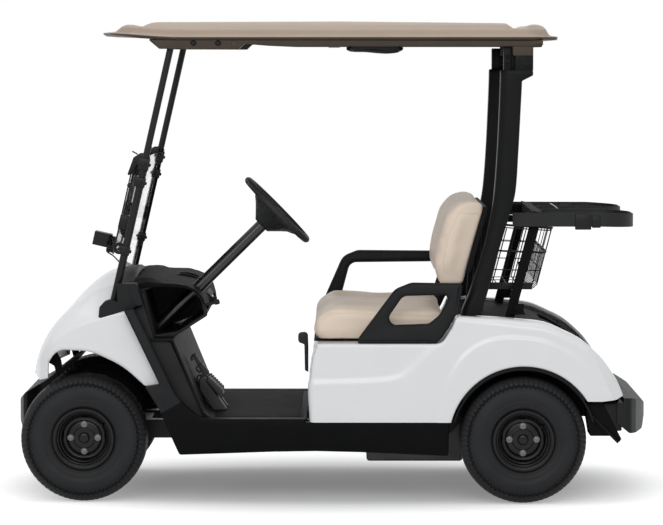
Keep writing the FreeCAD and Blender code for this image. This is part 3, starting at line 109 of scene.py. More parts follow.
# name, colour, roughness, specular level, spread of the tint, strength of the grain and its scale
WHITE = shader("body_white_paint", (0.76, 0.765, 0.778), 0.24, 0.28, 0.012, 0.03, 260, coat=0.2,
               coat_rough=0.04, rough_spread=0.03)
TRIM = shader("charcoal_plastic", (0.0075, 0.008, 0.0088), 0.5, 0.16, 0.15, 0.45, 1300, edge_wear_and_highlight=0.3,
              edge_wear_and_highlight_color=(0.03, 0.03, 0.032))
DECK = shader("deck_plastic", (0.0048, 0.005, 0.0054), 0.62, 0.04, 0.15, 0.4, 1300)
STRUT = shader("strut_plastic", (0.0042, 0.0045, 0.0048), 0.4, 0.1, 0.15, 0.3, 1300)
DARK = shader("black_plastic", (0.0042, 0.0044, 0.0048), 0.5, 0.05, 0.15, 0.4, 1300, edge_wear_and_highlight=0.25,
              edge_wear_and_highlight_color=(0.02, 0.02, 0.021))
FLOOR = shader("black_floor", (0.006, 0.0062, 0.0066), 0.62, 0.12, 0.2, 0.6, 700)
STONE = shader("sandstone_plastic", (0.335, 0.262, 0.205), 0.38, 0.4, 0.03, 0.22, 900)
BROWN = shader("umber_steel", (0.056, 0.042, 0.031), 0.42, 0.16, 0.08, 0.3, 700)
BLACK = shader("satin_black_steel", (0.005, 0.005, 0.0056), 0.33, 0.2, 0.1, 0.12, 800, edge_wear_and_highlight=0.25,
               edge_wear_and_highlight_color=(0.02, 0.02, 0.02))
VINYL = shader("stone_vinyl", (0.76, 0.635, 0.52), 0.46, 0.4, 0.035, 0.55, 900, cells=True, sheen=0.08)
BOARD = shader("black_board", (0.006, 0.006, 0.0065), 0.6, 0.12, 0.15, 0.4, 600)
AXLE = shader("black_axle_steel", (0.010, 0.010, 0.0108), 0.5, 0.2, 0.25, 0.4, 300)
ENGINE = shader("cast_metal", (0.09, 0.09, 0.092), 0.55, 0.5, 0.2, 0.7, 400, metallic=0.7)
TYRE = shader("tyre_rubber", (0.0205, 0.021, 0.0224), 0.46, 0.12, 0.12, 0.5, 900)
RIM = shader("rim_black_enamel", (0.003, 0.003, 0.0034), 0.26, 0.24, 0.1, 0.05, 500)
CHROME = shader("zinc_nut", (0.155, 0.155, 0.15), 0.34, 0.5, 0.06, 0.2, 900, metallic=1.0)
STRAP = shader("black_webbing", (0.014, 0.0145, 0.0155), 0.5, 0.2, 0.1, 0.6, 1500)
PEDAL = shader("pedal_steel", (0.038, 0.038, 0.037), 0.45, 0.2, 0.2, 0.3, 600, edge_wear_and_highlight=0.4,
               edge_wear_and_highlight_color=(0.08, 0.08, 0.08))
GLOSS = shader("gloss_black_enamel", (0.006, 0.006, 0.0066), 0.2, 0.5, 0.1, 0.05, 500)
GRIP = shader("grip_rubber", (0.019, 0.0195, 0.0205), 0.5, 0.2, 0.1, 0.5, 1400)
RACK = shader("rack_enamel", (0.006, 0.006, 0.0066), 0.6, 0.04, 0.1, 0.2, 900)
WIRE = shader("black_wire", (0.006, 0.006, 0.0066), 0.38, 0.2, 0.1, 0.2, 900)


def clear_material(name, color, clear):
    """Polycarbonate with faint dust in its roughness."""
    mat = shader(name, color, 0.03, 0.5, 0.004, 0.004, 12, rough_spread=0.015)
    surface = mat.node_tree.nodes["Principled BSDF"].inputs
    surface["Transmission Weight"].default_value = clear
    surface["IOR"].default_value = 1.12
    return mat


CLEAR = clear_material("clear_polycarbonate", (0.97, 0.985, 0.98), 1.0)
SMOKE = clear_material("smoked_polycarbonate", (0.13, 0.132, 0.132), 0.72)

for look, node_names in (
        (TYRE, "tyre_front_left tyre_front_right tyre_rear_left tyre_rear_right"),
        (RIM, "rim_front_left rim_front_right rim_rear_left rim_rear_right"),
        (AXLE, "front_axle knuckle_left knuckle_right tie_rod rear_axle"), (ENGINE, "engine_block"),
        (BLACK, "chassis_frame small_controls front_struts rear_struts roof_handles screen_fittings"),
        (TRIM, "sills strut_boots front_bumper rear_bumper dashboard steering_wheel"),
        (TRIM, "armrest_left armrest_right"), (FLOOR, "floorboard arch_liners"), (DECK, "rear_deck"),
        (WHITE, "front_body rear_body"),
        (BOARD, "seat_pan backrest_frame"), (VINYL, "seat_cushion seat_back"), (GLOSS, "steering_column"),
        (STONE, "roof"), (BROWN, "roof_rails"), (CLEAR, "windscreen_lower"), (SMOKE, "windscreen_upper"),
        (RACK, "bag_rack"), (STRAP, "bag_straps"), (WIRE, "basket")):
    for node_name in node_names.split():
        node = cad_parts[node_name]
        node.data.materials.clear()
        node.data.materials.append(look)


# geometry helpers, in millimetres unless a name says otherwise

def finish_mesh(mesh, look, smooth):
    mesh.materials.append(look)
    mesh.polygons.foreach_set("use_smooth", [True] * len(mesh.polygons))
    mesh.set_sharp_from_angle(angle=math.radians(smooth))
    mesh.update()


def face_alike(bm):
    """Makes all faces of each closed form look outwards."""
    bmesh.ops.recalc_face_normals(bm, faces=bm.faces)


def merge(bm, reach):
    """Joins points that lie within a reach, which is in metres."""
    bmesh.ops.remove_doubles(bm, verts=bm.verts, dist=reach)


def link_mesh(name, bm):
    """Turns a bmesh, which is in metres, into an object of the scene."""
    mesh = bpy.data.meshes.new(name)
    bm.to_mesh(mesh)
    bm.free()
    obj = bpy.data.objects.new(name, mesh)
    scene.collection.objects.link(obj)
    return obj


def new_piece(name, bm, look, slot, smooth, *replaced, body="chassis", recalc=True):
    """Turns a bmesh into a piece that rides on a body and may stand for some nodes."""
    if recalc:
        face_alike(bm)
    obj = link_mesh(name, bm)
    finish_mesh(obj.data, look, smooth)
    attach(obj, body)
    if replaced:
        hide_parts(*replaced)
    return obj


def circle(count):
    """Angles of evenly spaced points round a circle."""
    return [2 * math.pi * k / count for k in range(count)]


def grid_mesh(bm, rows, close_u=False, close_v=False, caps=False):
    """Faces between rows of points. Returns the vertices as rows."""
    made = [[bm.verts.new([c * MM for c in p]) for p in row] for row in rows]
    n, m = len(made), len(made[0])
    for i in range(n if close_u else n - 1):
        for j in range(m if close_v else m - 1):
            a, b = made[i], made[(i + 1) % n]
            bm.faces.new((a[j], a[(j + 1) % m], b[(j + 1) % m], b[j]))
    if caps:
        bm.faces.new(made[0])
        bm.faces.new(made[-1][::-1])
    return made


def rounded(points, fine=0.2):
    """Closed outline in 2-D whose corners may carry a radius, turned in steps of a fine angle."""
    out = []
    n = len(points)
    for i, p in enumerate(points):
        before, here, after = Vector(points[i - 1][:2]), Vector(p[:2]), Vector(points[(i + 1) % n][:2])
        radius = p[2] if len(p) > 2 else 0
        u, w = (before - here).normalized(), (after - here).normalized()
        angle = u.angle(w)
        if radius <= 0 or angle > math.pi - 0.03:
            out.append(here)
            continue
        cut = min(radius / math.tan(angle / 2), (before - here).length * 0.49, (after - here).length * 0.49)
        radius = cut * math.tan(angle / 2)
        centre = here + (u + w).normalized() * (radius / math.sin(angle / 2))
        start, end = here + u * cut - centre, here + w * cut - centre
        turn = start.angle_signed(end)
        count = max(2, int(abs(turn) / fine) + 1)
        for k in range(count + 1):
            a = -turn * k / count
            out.append(centre + Vector((start.x * math.cos(a) - start.y * math.sin(a),
                                        start.x * math.sin(a) + start.y * math.cos(a))))
    return out


def bevel(bm, edges, width, segments=3):
    bmesh.ops.bevel(bm, geom=edges, offset=width * MM, segments=segments, profile=0.5, affect="EDGES",
                    clamp_overlap=True)


def join(bm, part, place=None):
    """Adds a bmesh to another one."""
    if place is not None:
        bmesh.ops.transform(part, matrix=place, verts=part.verts)
    mesh = bpy.data.meshes.new("scratch")
    part.to_mesh(mesh)
    part.free()
    bm.from_mesh(mesh)
    bpy.data.meshes.remove(mesh)


def box(bm, x0, x1, y0, y1, z0, z1, width, place=None):
    """A block with rounded edges."""
    part = bmesh.new()
    bmesh.ops.create_cube(part, size=1.0)
    bmesh.ops.scale(part, vec=[size * MM for size in (x1 - x0, y1 - y0, z1 - z0)], verts=part.verts)
    bmesh.ops.translate(part, vec=[both / 2 * MM for both in (x0 + x1, y0 + y1, z0 + z1)], verts=part.verts)
    bevel(part, part.edges[:], width)
    join(bm, part, place)


def lathe(bm, profile, centre, axis, turns, caps=False):
    """Turns a profile of (radius, height) about an axis through centre. Heights run along the axis."""
    axis = Vector(axis).normalized()
    side = axis.orthogonal().normalized()
    other = axis.cross(side)
    centre = Vector(centre)
    rows = []
    for a in circle(turns):
        out = side * math.cos(a) + other * math.sin(a)
        rows.append([centre + out * r + axis * h for r, h in profile])
    made = grid_mesh(bm, rows, close_u=True)
    if caps:
        bm.faces.new([row[0] for row in made])
        bm.faces.new([row[-1] for row in reversed(made)])


def tube(bm, path, radius, sides, closed=False):
    """A round tube along a path."""
    points = [Vector(p) for p in path]
    n = len(points)
    rows = []
    normal = None
    for i, p in enumerate(points):
        before = points[i - 1] if closed or i > 0 else points[i]
        after = points[(i + 1) % n] if closed or i < n - 1 else points[i]
        along = (after - before).normalized()
        if normal is None:
            normal = along.orthogonal().normalized()
        normal = (normal - along * normal.dot(along)).normalized()
        other = along.cross(normal)
        rows.append([p + (normal * math.cos(a) + other * math.sin(a)) * radius for a in circle(sides)])
    grid_mesh(bm, rows, close_u=closed, close_v=True, caps=not closed)


def smooth_path(points, count=8):
    """Catmull-Rom points through a few given ones."""
    ps = [Vector(p) for p in points]
    last = len(ps) - 1
    out = []
    for i in range(last):
        p0, p1, p2, p3 = ps[max(0, i - 1)], ps[i], ps[i + 1], ps[min(last, i + 2)]
        for k in range(count):
            t = k / count
            out.append(0.5 * ((2 * p1) + (p2 - p0) * t + (2 * p0 - 5 * p1 + 4 * p2 - p3) * t * t
                              + (3 * p1 - p0 - 3 * p2 + p3) * t ** 3))
    return out + [ps[-1]]


def span(side, near, far):
    """The two y of a plate on one side of the cart, the lower one first."""
    return sorted((side * near, side * far))


def slab(bm, loops, y0, y1, edge):
    """A plate in the side view, with holes, whose rims are rounded. The first loop is its outline."""
    curve = bpy.data.curves.new("scratch", "CURVE")
    curve.dimensions = "2D"
    curve.fill_mode = "BOTH"
    curve.extrude = ((y1 - y0) / 2 - edge) * MM
    curve.bevel_depth = edge * MM
    curve.bevel_resolution = 3
    curve.offset = -edge * MM
    for loop in loops:
        ring = rounded(loop, 0.16)
        spline = curve.splines.new("POLY")
        spline.points.add(len(ring) - 1)
        for point, p in zip(spline.points, ring):
            point.co = (p[0] * MM, p[1] * MM, 0, 1)
        spline.use_cyclic_u = True
    holder = bpy.data.objects.new("scratch", curve)
    mesh = bpy.data.meshes.new_from_object(holder)
    bpy.data.objects.remove(holder)
    bpy.data.curves.remove(curve)
    part = bmesh.new()
    part.from_mesh(mesh)
    bpy.data.meshes.remove(mesh)
    merge(part, 1e-6)
    upright = Matrix(((1, 0, 0, 0), (0, 0, 1, (y0 + y1) / 2 * MM), (0, 1, 0, 0), (0, 0, 0, 1)))
    join(bm, part, upright)


def mirrored_copy(bm):
    """Adds the mirror image of everything across the middle plane."""
    copy = bm.copy()
    bmesh.ops.scale(copy, vec=(1, -1, 1), verts=copy.verts)
    bmesh.ops.reverse_faces(copy, faces=copy.faces)
    join(bm, copy)


def step(x, low, high):
    t = min(1.0, max(0.0, (x - low) / (high - low)))
    return t * t * (3 - 2 * t)


def curve_value(x, knots):
    """Smooth value at x of a curve through knots sorted by x."""
    if x <= knots[0][0]:
        return knots[0][1]
    if x >= knots[-1][0]:
        return knots[-1][1]
    for i in range(len(knots) - 1):
        (x1, y1), (x2, y2) = knots[i], knots[i + 1]
        if x <= x2:
            x0, y0 = knots[i - 1] if i else (2 * x1 - x2, y1)
            x3, y3 = knots[i + 2] if i + 2 < len(knots) else (2 * x2 - x1, y2)
            m1, m2 = (y2 - y0) / (x2 - x0), (y3 - y1) / (x3 - x1)
            h = x2 - x1
            t = (x - x1) / h
            return ((2 * t ** 3 - 3 * t * t + 1) * y1 + (t ** 3 - 2 * t * t + t) * h * m1
                    + (3 * t * t - 2 * t ** 3) * y2 + (t ** 3 - t * t) * h * m2)


def line_height(x, polyline):
    """Height of a polyline at x, the upper one where it doubles back. Beyond its ends it stays level."""
    heights = []
    for a, b in zip(polyline, polyline[1:]):
        low, high = sorted((a, b), key=lambda p: p[0])
        if low[0] <= x <= high[0] and high[0] > low[0]:
            heights.append(low[1] + (high[1] - low[1]) * (x - low[0]) / (high[0] - low[0]))
    return max(heights) if heights else min((polyline[0], polyline[-1]), key=lambda p: abs(x - p[0]))[1]


# wheels

HUB_Z = 236.5
FRONT_X, REAR_X = 929.0, -711.0
FRONT_Y, REAR_Y = 435.0, 490.0
WHEELS = {
    "front_left": (FRONT_X, FRONT_Y, 1), "front_right": (FRONT_X, -FRONT_Y, -1),
    "rear_left": (REAR_X, REAR_Y, 1), "rear_right": (REAR_X, -REAR_Y, -1),
}


TREAD_FROM = 215.0
SHOULDER, TOOTH = 205.0, 4.6
GROOVE_LANES, GROOVE_DEPTH = (45, 15), 4.6
TEETH, STEPS_PER_TOOTH = 72, 6


def tyre_profile():
    """Section from the outer bead over the crown to the inner bead: radius and place across."""
    half = [(113, 76), (116, 81), (120, 85), (124, 87.4), (127, 88.6), (129, 87.4), (132, 88.4), (141, 93.4),
            (144, 95.2), (146, 94.6), (149, 96.2), (156, 98.8), (162, 100.4), (166, 101), (168, 100.4),
            (171, 100.7), (176, 100.2), (184, 98.4), (190, 96.6), (193, 95.4)]
    half += [(r, 95.4 - (r - 193) * 0.3) for r in np.linspace(194, 214.4, 18)]
    half += [(216, 88.4), (218.5, 87), (223, 84.5), (228, 81), (231.2, 77), (233, 72), (234.3, 66), (234.6, 58),
             (235.4, 50), (235.8, 41), (236.2, 33), (236.4, 25), (236.5, 17), (236.5, 8)]
    return half + [(236.5, 0)] + [(r, -h) for r, h in reversed(half)]


def make_tyre(name, x, y, side):
    """Tyre with a saw-toothed shoulder and zig-zag grooves in its tread."""
    profile = tyre_profile()
    rows = []
    for k, a in enumerate(circle(TEETH * STEPS_PER_TOOTH)):
        zig = abs(2 * (k % STEPS_PER_TOOTH) / STEPS_PER_TOOTH - 1) * 2 - 1
        row = []
        for r, h in profile:
            radius, across = r, h
            if r > 190:
                edge = r - (SHOULDER + TOOTH * zig)
                lift = 3.0 * step(edge, -1.5, 2.0) * (1 - step(r, 214, 231))
                across += math.copysign(lift - 13.0 * math.exp(-(edge / 2.7) ** 2), h)
            if r > TREAD_FROM:
                lane = abs(h)
                for middle in GROOVE_LANES:
                    away = abs(lane - middle - zig * 5.0)
                    radius -= GROOVE_DEPTH * (1 - away / 5.5) ** 0.6 if away < 5.5 else 0
                if lane > 62:
                    share = step(lane, 62, 74) * (1 - step(lane, 88, 95))
                    radius -= share * 4.2 * step(zig, 0.1, 0.5) * (1 if r < 229 else 0.7)
            row.append((x + radius * math.cos(a), y + side * across, HUB_Z + radius * math.sin(a)))
        rows.append(row)
    bm = bmesh.new()
    grid_mesh(bm, rows, close_u=True)
    new_piece("rubber_" + name, bm, TYRE, "tyre", 34, "tyre_" + name, body="wheel_" + name)


RIM_FACE = [
    (11, 59.4), (16.4, 57.6), (18.4, 54), (19.2, 48), (20.8, 44.6), (26.6, 43.4), (34, 43.6), (38.6, 43),
    (40.6, 40.8), (44, 40), (56.4, 39.4), (61.6, 37.6), (66, 34.4), (70.4, 33), (75.4, 34), (79.6, 36.8),
    (82.4, 42), (83.6, 49.6), (86, 53.2), (89.4, 54.6), (91.6, 58), (92.4, 66), (94.4, 69.4), (97.6, 70.6),
    (100.4, 74), (101.6, 82), (103.6, 86.4), (107.5, 88.4), (112.6, 87.6), (115, 88.5), (115, 91.6),
    (113.6, 93.2), (111.5, 92)]
RIM_BACK = [(0.3, 20), (40, 20), (70, 26), (95, 24), (96, -92), (115, -92.5), (115, -88), (101.5, -86),
            (101.5, 84), (111.5, 87)]
VALVE = [(0.2, 76), (2.6, 76), (3.4, 74.5), (3.4, 66), (5.2, 60), (5.6, 50)]
VALVE_R, VALVE_TURN = 84, 2.5
NUTS, NUT_R = 4, 50.8


def make_rim(name, x, y, side):
    """Enamelled steel rim: rolled lip, stepped well, dished disc, hub and dust cap. Four nuts hold it."""
    out = (0, side, 0)
    bm = bmesh.new()
    lathe(bm, [(0.3, 59.9)] + RIM_FACE, (x, y, HUB_Z), out, 96)
    lathe(bm, RIM_BACK, (x, y, HUB_Z), out, 48)
    lathe(bm, VALVE, (x + VALVE_R * math.cos(VALVE_TURN), y, HUB_Z + VALVE_R * math.sin(VALVE_TURN)), out, 14)
    new_piece("steel_rim_" + name, bm, RIM, "wheel_steel", 40, "rim_" + name, body="wheel_" + name)
    bm = bmesh.new()
    for k in range(NUTS):
        a = math.pi / 2 * (k + 1)
        cx, cz = x + NUT_R * math.cos(a), HUB_Z + NUT_R * math.sin(a)
        lathe(bm, [(9.6, 42.6), (11.8, 42.4), (12.6, 41.4), (12.6, 38.5)], (cx, y, cz), out, 24)
        nut = bmesh.new()
        bmesh.ops.create_cone(nut, cap_ends=True, segments=6, radius1=0.0102, radius2=0.0102, depth=0.012)
        bevel(nut, nut.edges[:], 1.4, 2)
        turn = Matrix.Translation(Vector((cx, y + side * 47.5, cz)) * MM) @ Matrix.Rotation(math.pi / 2, 4, "X")
        join(bm, nut, turn @ Matrix.Rotation(0.3 * k, 4, "Z"))
        lathe(bm, [(0.1, 57.0), (3.4, 56.6), (4.9, 55.2), (5.3, 52)], (cx, y, cz), out, 16)
    new_piece("nuts_" + name, bm, CHROME, "wheel_steel", 30, body="wheel_" + name)


for wheel, (wx, wy, ws) in WHEELS.items():
    make_tyre(wheel, wx, wy, ws)
    make_rim(wheel, wx, wy, ws)
# body skins

def offset_from(line, px, pz):
    """Signed distance of points from a polyline (x, z), positive on the left of its direction."""
    best, sign = np.full(px.shape, 1e9), np.ones(px.shape)
    for a, b in zip(line[:-1], line[1:]):
        ux, uz = b[0] - a[0], b[1] - a[1]
        t = np.clip(((px - a[0]) * ux + (pz - a[1]) * uz) / (ux * ux + uz * uz), 0, 1)
        dx, dz = px - (a[0] + t * ux), pz - (a[1] + t * uz)
        away = np.hypot(dx, dz)
        near = away < best
        best = np.where(near, away, best)
        sign = np.where(near, np.sign(ux * dz - uz * dx), sign)
    return best * sign


def ramp(values, width):
    """Smooth 0 to 1 as the values go from 0 to the width."""
    t = np.clip(values / width, 0, 1)
    return t * t * (3 - 2 * t)


def bell(away, width):
    return np.exp(-(away / width) ** 2)


def flat_curve(points):
    """Dense smooth (x, z) points through a few given ones."""
    return [(p.x, p.z) for p in smooth_path([(x, 0, z) for x, z in points])]


def edge_roll(away, reach, depth):
    """Inward step of a surface whose last stretch before an edge curls in."""
    t = np.clip(1 - away / reach, 0, 1)
    return depth * (1 - np.sqrt(1 - 0.96 * t * t))


def thick(obj):
    """Gives a skin its wall, inwards."""
    solid = obj.modifiers.new("wall", "SOLIDIFY")
    solid.thickness = SKIN * MM
    solid.offset = -1


def face_out(bm, centre):
    """Turns all faces over if most of them look towards a point."""
    face_alike(bm)
    side = sum((f.calc_center_median() - Vector(centre)).dot(f.normal) * f.calc_area() for f in bm.faces)
    if side < 0:
        bmesh.ops.reverse_faces(bm, faces=bm.faces)


CREASE = flat_curve([(100, 442), (70, 443), (-100, 447), (-210, 455), (-260, 468), (-288, 488), (-325, 520),
                     (-362, 558), (-400, 595), (-430, 640), (-455, 690), (-468, 720)])
FLARE = flat_curve([(-402, 300), (-413, 372), (-442, 462), (-472, 521), (-509, 562), (-553, 592), (-605, 609),
                    (-664, 614), (-730, 610), (-789, 599), (-855, 569), (-914, 529), (-951, 491), (-988, 439),
                    (-1033, 395), (-1050, 370)])
TAIL = flat_curve([(-905, 640), (-944, 562), (-988, 499), (-1040, 387), (-1060, 340)])
ARCH_R, SKIN = 278.0, 3.5
REAR_TOP = [(p.x, p.y) for p in rounded([
    (95, 598), (-407, 598, 40), (-445, 660, 60), (-461, 701, 18), (-619, 693, 400), (-789, 678, 200),
    (-927, 614, 250), (-1004, 542, 200), (-1057, 466, 200), (-1082, 404), (-1082, 0), (95, 0)])][:-2]
FRONT_EDGE = [(305, -6), (428, 0), (540, -8), (598, -24)]


def rear_recess(x, z):
    """How far the rear body's side lies inside its widest plane."""
    inward = 6.5 * ramp(-offset_from(CREASE, x, z), 30)
    inward += 5.0 * ramp(-offset_from(FLARE, x, z), 20)
    inward += 6.0 * np.clip((z - 420) / 280, 0, 1) ** 2
    turn = np.maximum(0, -offset_from(TAIL, x, z))
    inward += 0.75 * turn * ramp(turn, 16)
    ring = np.hypot(x - REAR_X, z - HUB_Z) - ARCH_R
    inward += edge_roll(np.abs(ring), 10, 7)
    return inward


FOOT_Z, TAIL_Z = 305.3, 384.0


def make_rear_body():
    """Side, rounded front corner and riser of the rear body as one skin, then its mirror image."""
    low_tail = [(-1082, 404), (-1057, 391), (-1002, TAIL_Z), (-940, TAIL_Z)]
    columns = [(x, line_height(x, low_tail)) for x in np.linspace(-1080, -950, 18)]
    start, stop = (math.degrees(math.asin((z - HUB_Z) / ARCH_R)) for z in (FOOT_Z, TAIL_Z))
    for a in np.radians(np.linspace(180 - stop, start, 86)):
        columns.append((REAR_X + ARCH_R * math.cos(a), HUB_Z + ARCH_R * math.sin(a)))
    columns += [(x, FOOT_Z) for x in (*np.linspace(-438, -396, 9), *np.linspace(-384, 65, 31))]
    path = [(x, 600.0, 0.0, -1.0, x, low) for x, low in columns]
    for a in np.radians(np.linspace(11, 90, 8)):
        path.append((65 + 30 * math.sin(a), 570 + 30 * math.cos(a), -math.sin(a), -math.cos(a), 65.0, FOOT_Z))
    path += [(95.0, y, -1.0, 0.0, 65.0, FOOT_Z) for y in np.linspace(540, 0, 14)]
    turn = np.radians(np.linspace(15, 90, 6))
    rows = []
    for bx, by, nx, ny, at, low in path:
        top = line_height(at, REAR_TOP)
        radius = min(float(np.interp(-at, [0, 400, 470, 700, 1000], [11, 12, 20, 34, 30])), (top - low) * 0.6)
        zs = np.concatenate([[low, low], np.linspace(low + 1.2, top - radius, 52)])
        recess = rear_recess(np.full(zs.shape, float(at)), zs)
        recess[0] += 13
        recess[1] += 2.5
        zs = np.concatenate([zs, top - radius + radius * np.sin(turn)])
        recess = np.concatenate([recess, recess[-1] + radius * (1 - np.cos(turn))])
        weight = float(step(at, -40, 65))
        row = [(bx + curve_value(z, FRONT_EDGE) * weight + nx * inward, by + ny * inward, z)
               for z, inward in zip(zs, recess)]
        end = row[-1]
        inner = (min(end[0], 30.0), min(end[1], 432.0)) if at > -404 else (end[0], 489.0)
        for share in (0.3, 0.65, 1.0):
            row.append((end[0] + (inner[0] - end[0]) * share, end[1] + (inner[1] - end[1]) * share, end[2]))
        row.append((*row[-1][:2], end[2] - 14))
        rows.append(row)
    bm = bmesh.new()
    grid_mesh(bm, rows)
    riser = [(-369, 584), (-369, 598), (-397, 598), (-414, 607), (-427, 626), (-440, 650), (-449, 668)]
    grid_mesh(bm, [[(x, y, z) for y in (489, 0)] for x, z in riser])
    mirrored_copy(bm)
    merge(bm, 0.0002)
    face_out(bm, (-0.45, 0, 0.40))
    thick(new_piece("body_shell_rear", bm, WHITE, "body_white", 50, "rear_body", recalc=False))
# x, half width, height of the side's upper edge, of the ridge and of the middle
HOOD = [
    (600, 552, 724, 820, 850), (770, 552, 712, 812, 846), (860, 552, 690, 790, 832), (940, 551, 660, 750, 776),
    (1004, 544, 620, 698, 706), (1056, 522, 576, 640, 646), (1094, 462, 532, 576, 580),
    (1118, 362, 494, 520, 523), (1136, 212, 458, 470, 472)]
HALF, SIDE, RIDGE, TOP = [[(row[0], row[k]) for row in HOOD] for k in (1, 2, 3, 4)]
FRONT_ARCH = [(p.x, p.y) for p in rounded([(1057, 300), (1065, 512, 50), (1025, 572, 60), (899, 568, 200),
                                           (779, 512, 300), (694, 434), (694, 300)], 0.08)]


def hood_height(x, y):
    """Height of the hood over a point of the plan, with a valley between its ridge and its middle."""
    half, side, ridge, top = (curve_value(x, k) for k in (HALF, SIDE, RIDGE, TOP))
    t = min(1.0, abs(y) / half)
    rise, crown = ridge - side, top - ridge
    scoop = 1 - step(x, 872, 965)
    knots = [
        (-0.3, top - 0.12 * crown), (0, top), (0.3, top - 0.12 * crown), (0.5, ridge + 0.32 * crown),
        (0.66 - 0.03 * scoop, ridge + 0.03 * crown - 0.03 * rise), (0.765 - 0.04 * scoop, ridge + 0.03 * rise),
        (0.85 - 0.04 * scoop, ridge - (0.10 + 0.17 * scoop) * rise),
        (0.92, side + (0.66 - 0.30 * scoop) * rise), (0.965, side + (0.40 - 0.22 * scoop) * rise),
        (0.99, side + (0.14 - 0.08 * scoop) * rise), (1.0, side)]
    return curve_value(t, knots)


def wall_row(x, y, low, top):
    """An upright row of points on the front body's side, curled in at its lower edge."""
    zs = np.concatenate([[low], np.linspace(low, top, 26)])
    away = np.abs(offset_from(FRONT_ARCH, np.full(zs.shape, x), zs)) if x < 1066 else zs - low + 2
    inward = edge_roll(away, 15, 11)
    inward += 5 * ramp(560 - zs, 200) if x < 1000 else 0
    inward[0] += 12
    return [(x if x < 1056 else x - step_in * (1 - y / 560), max(0.0, y - step_in) if y > 1 else 0.0, z)
            for z, step_in in zip(zs, inward)]


def make_front_body():
    """Side walls with the wheel openings, and the hood from them up to its spine."""
    front_path = [(x, curve_value(x, HALF))
                  for x in (*np.linspace(765, 1016, 34), *np.linspace(1022, 1056, 10))]
    nose = smooth_path([(1056, 522, 0), (1080, 490, 0), (1099, 446, 0), (1118, 362, 0), (1131, 260, 0),
                        (1136, 150, 0), (1137, 0, 0)], 7)
    front_path += [(p.x, p.y) for p in nose[1:]]
    lip = [(969, 494), (1100, 451), (1160, 476)]
    walls, hoods = [], []
    for x in np.linspace(641, 762, 22):
        low = 446.3 - (x - 640.3) * 0.139 if x < 694 else max(433.0, line_height(x, FRONT_ARCH))
        post = 446.3 + (x - 640.3) * 2.089
        walls.append(wall_row(float(x), 552.0, low, max(post, low + 0.5)))
    for x, y in front_path:
        side = hood_height(x, curve_value(x, HALF)) if x < 1130 else 458.0
        low = line_height(x, FRONT_ARCH) if x < 1061 else line_height(x, lip)
        walls.append(wall_row(float(x), float(y), min(low, side - 0.5), side))
        spine_x = min(x, 985.0 + 0.1 * (x - 985.0)) if x > 985 else x
        row = []
        for v in (*np.linspace(0, 0.06, 6), *np.linspace(0.085, 0.4, 16), *np.linspace(0.43, 1.0, 14)):
            px, py = x + (spine_x - x) * v, y - y * v
            row.append((px, py, hood_height(px, py) if v > 0 else side))
        hoods.append(row)
    bm = bmesh.new()
    grid_mesh(bm, walls)
    grid_mesh(bm, hoods)
    merge(bm, 0.0003)
    mirrored_copy(bm)
    merge(bm, 0.0002)
    face_out(bm, (0.9, 0, 0.5))
    thick(new_piece("body_shell_front", bm, WHITE, "body_white", 50, "front_body", recalc=False))


make_rear_body()
make_front_body()
# cushions

def loop_points(points, count):
    """Evenly spaced points round a closed outline with rounded corners."""
    ring = rounded(points, 0.12)
    lengths = [0.0]
    for a, b in zip(ring, ring[1:] + ring[:1]):
        lengths.append(lengths[-1] + (b - a).length)
    out, k = [], 0
    for i in range(count):
        goal = lengths[-1] * i / count
        while lengths[k + 1] < goal:
            k += 1
        a, b = ring[k], ring[(k + 1) % len(ring)]
        share = (goal - lengths[k]) / max(1e-9, lengths[k + 1] - lengths[k])
        out.append(a.lerp(b, share))
    return out


PAD_RING, PAD_STEP = 110, 14.0
VOXEL, PRESSURE, STIFFNESS, PUFF_FRAMES = 8.0, 4.0, 12, 20


def pad_mesh(name, points, half, end, shrink, draw_in):
    """A closed form with an outline in the side view whose ends are rounded across the cart."""
    ring = loop_points(points, PAD_RING)
    inner = np.linspace(0, half - end, max(3, int((half - end) / PAD_STEP)), endpoint=False)
    left = [(y, 0.0) for y in inner]
    left += [(half - end + end * math.sin(a), end * (1 - math.cos(a))) for a in np.linspace(0, math.pi / 2, 9)]
    rows = []
    for y, inset in [(-y, i) for y, i in reversed(left[1:])] + left:
        places = [draw_in(p.x, p.y, inset + shrink) for p in ring]
        rows.append([(px, y * (1 - shrink / half), pz) for px, pz in places])
    bm = bmesh.new()
    grid_mesh(bm, rows, close_v=True, caps=True)
    face_alike(bm)
    return link_mesh(name, bm)
def apply_modifiers(obj):
    mesh = bpy.data.meshes.new_from_object(obj.evaluated_get(bpy.context.evaluated_depsgraph_get()))
    obj.modifiers.clear()
    obj.data = mesh


def points_of(obj):
    co = np.zeros(len(obj.data.vertices) * 3)
    obj.data.vertices.foreach_get("co", co)
    return co.reshape(-1, 3)


def puff(obj, cap):
    """Swells a closed form with a cloth simulation; no point moves further than the cap."""
    remesh = obj.modifiers.new("remesh", "REMESH")
    remesh.mode = "VOXEL"
    remesh.voxel_size = VOXEL * MM
    apply_modifiers(obj)
    rest = points_of(obj)
    cloth = obj.modifiers.new("cloth", "CLOTH")
    cloth.settings.use_pressure = True
    cloth.settings.uniform_pressure_force = PRESSURE
    cloth.settings.effector_weights.gravity = 0
    cloth.settings.quality = 4
    cloth.settings.tension_stiffness = STIFFNESS
    cloth.settings.compression_stiffness = STIFFNESS
    cloth.settings.bending_stiffness = 1.0
    cloth.point_cache.frame_start, cloth.point_cache.frame_end = 1, PUFF_FRAMES
    for frame_number in range(1, PUFF_FRAMES + 1):
        scene.frame_set(frame_number)
        bpy.context.view_layer.update()
    apply_modifiers(obj)
    scene.frame_set(1)
    move = points_of(obj) - rest
    size = np.linalg.norm(move, axis=1, keepdims=True)
    move *= np.minimum(1.0, cap * MM / np.maximum(size, 1e-9))
    obj.data.vertices.foreach_set("co", (rest + move).ravel())


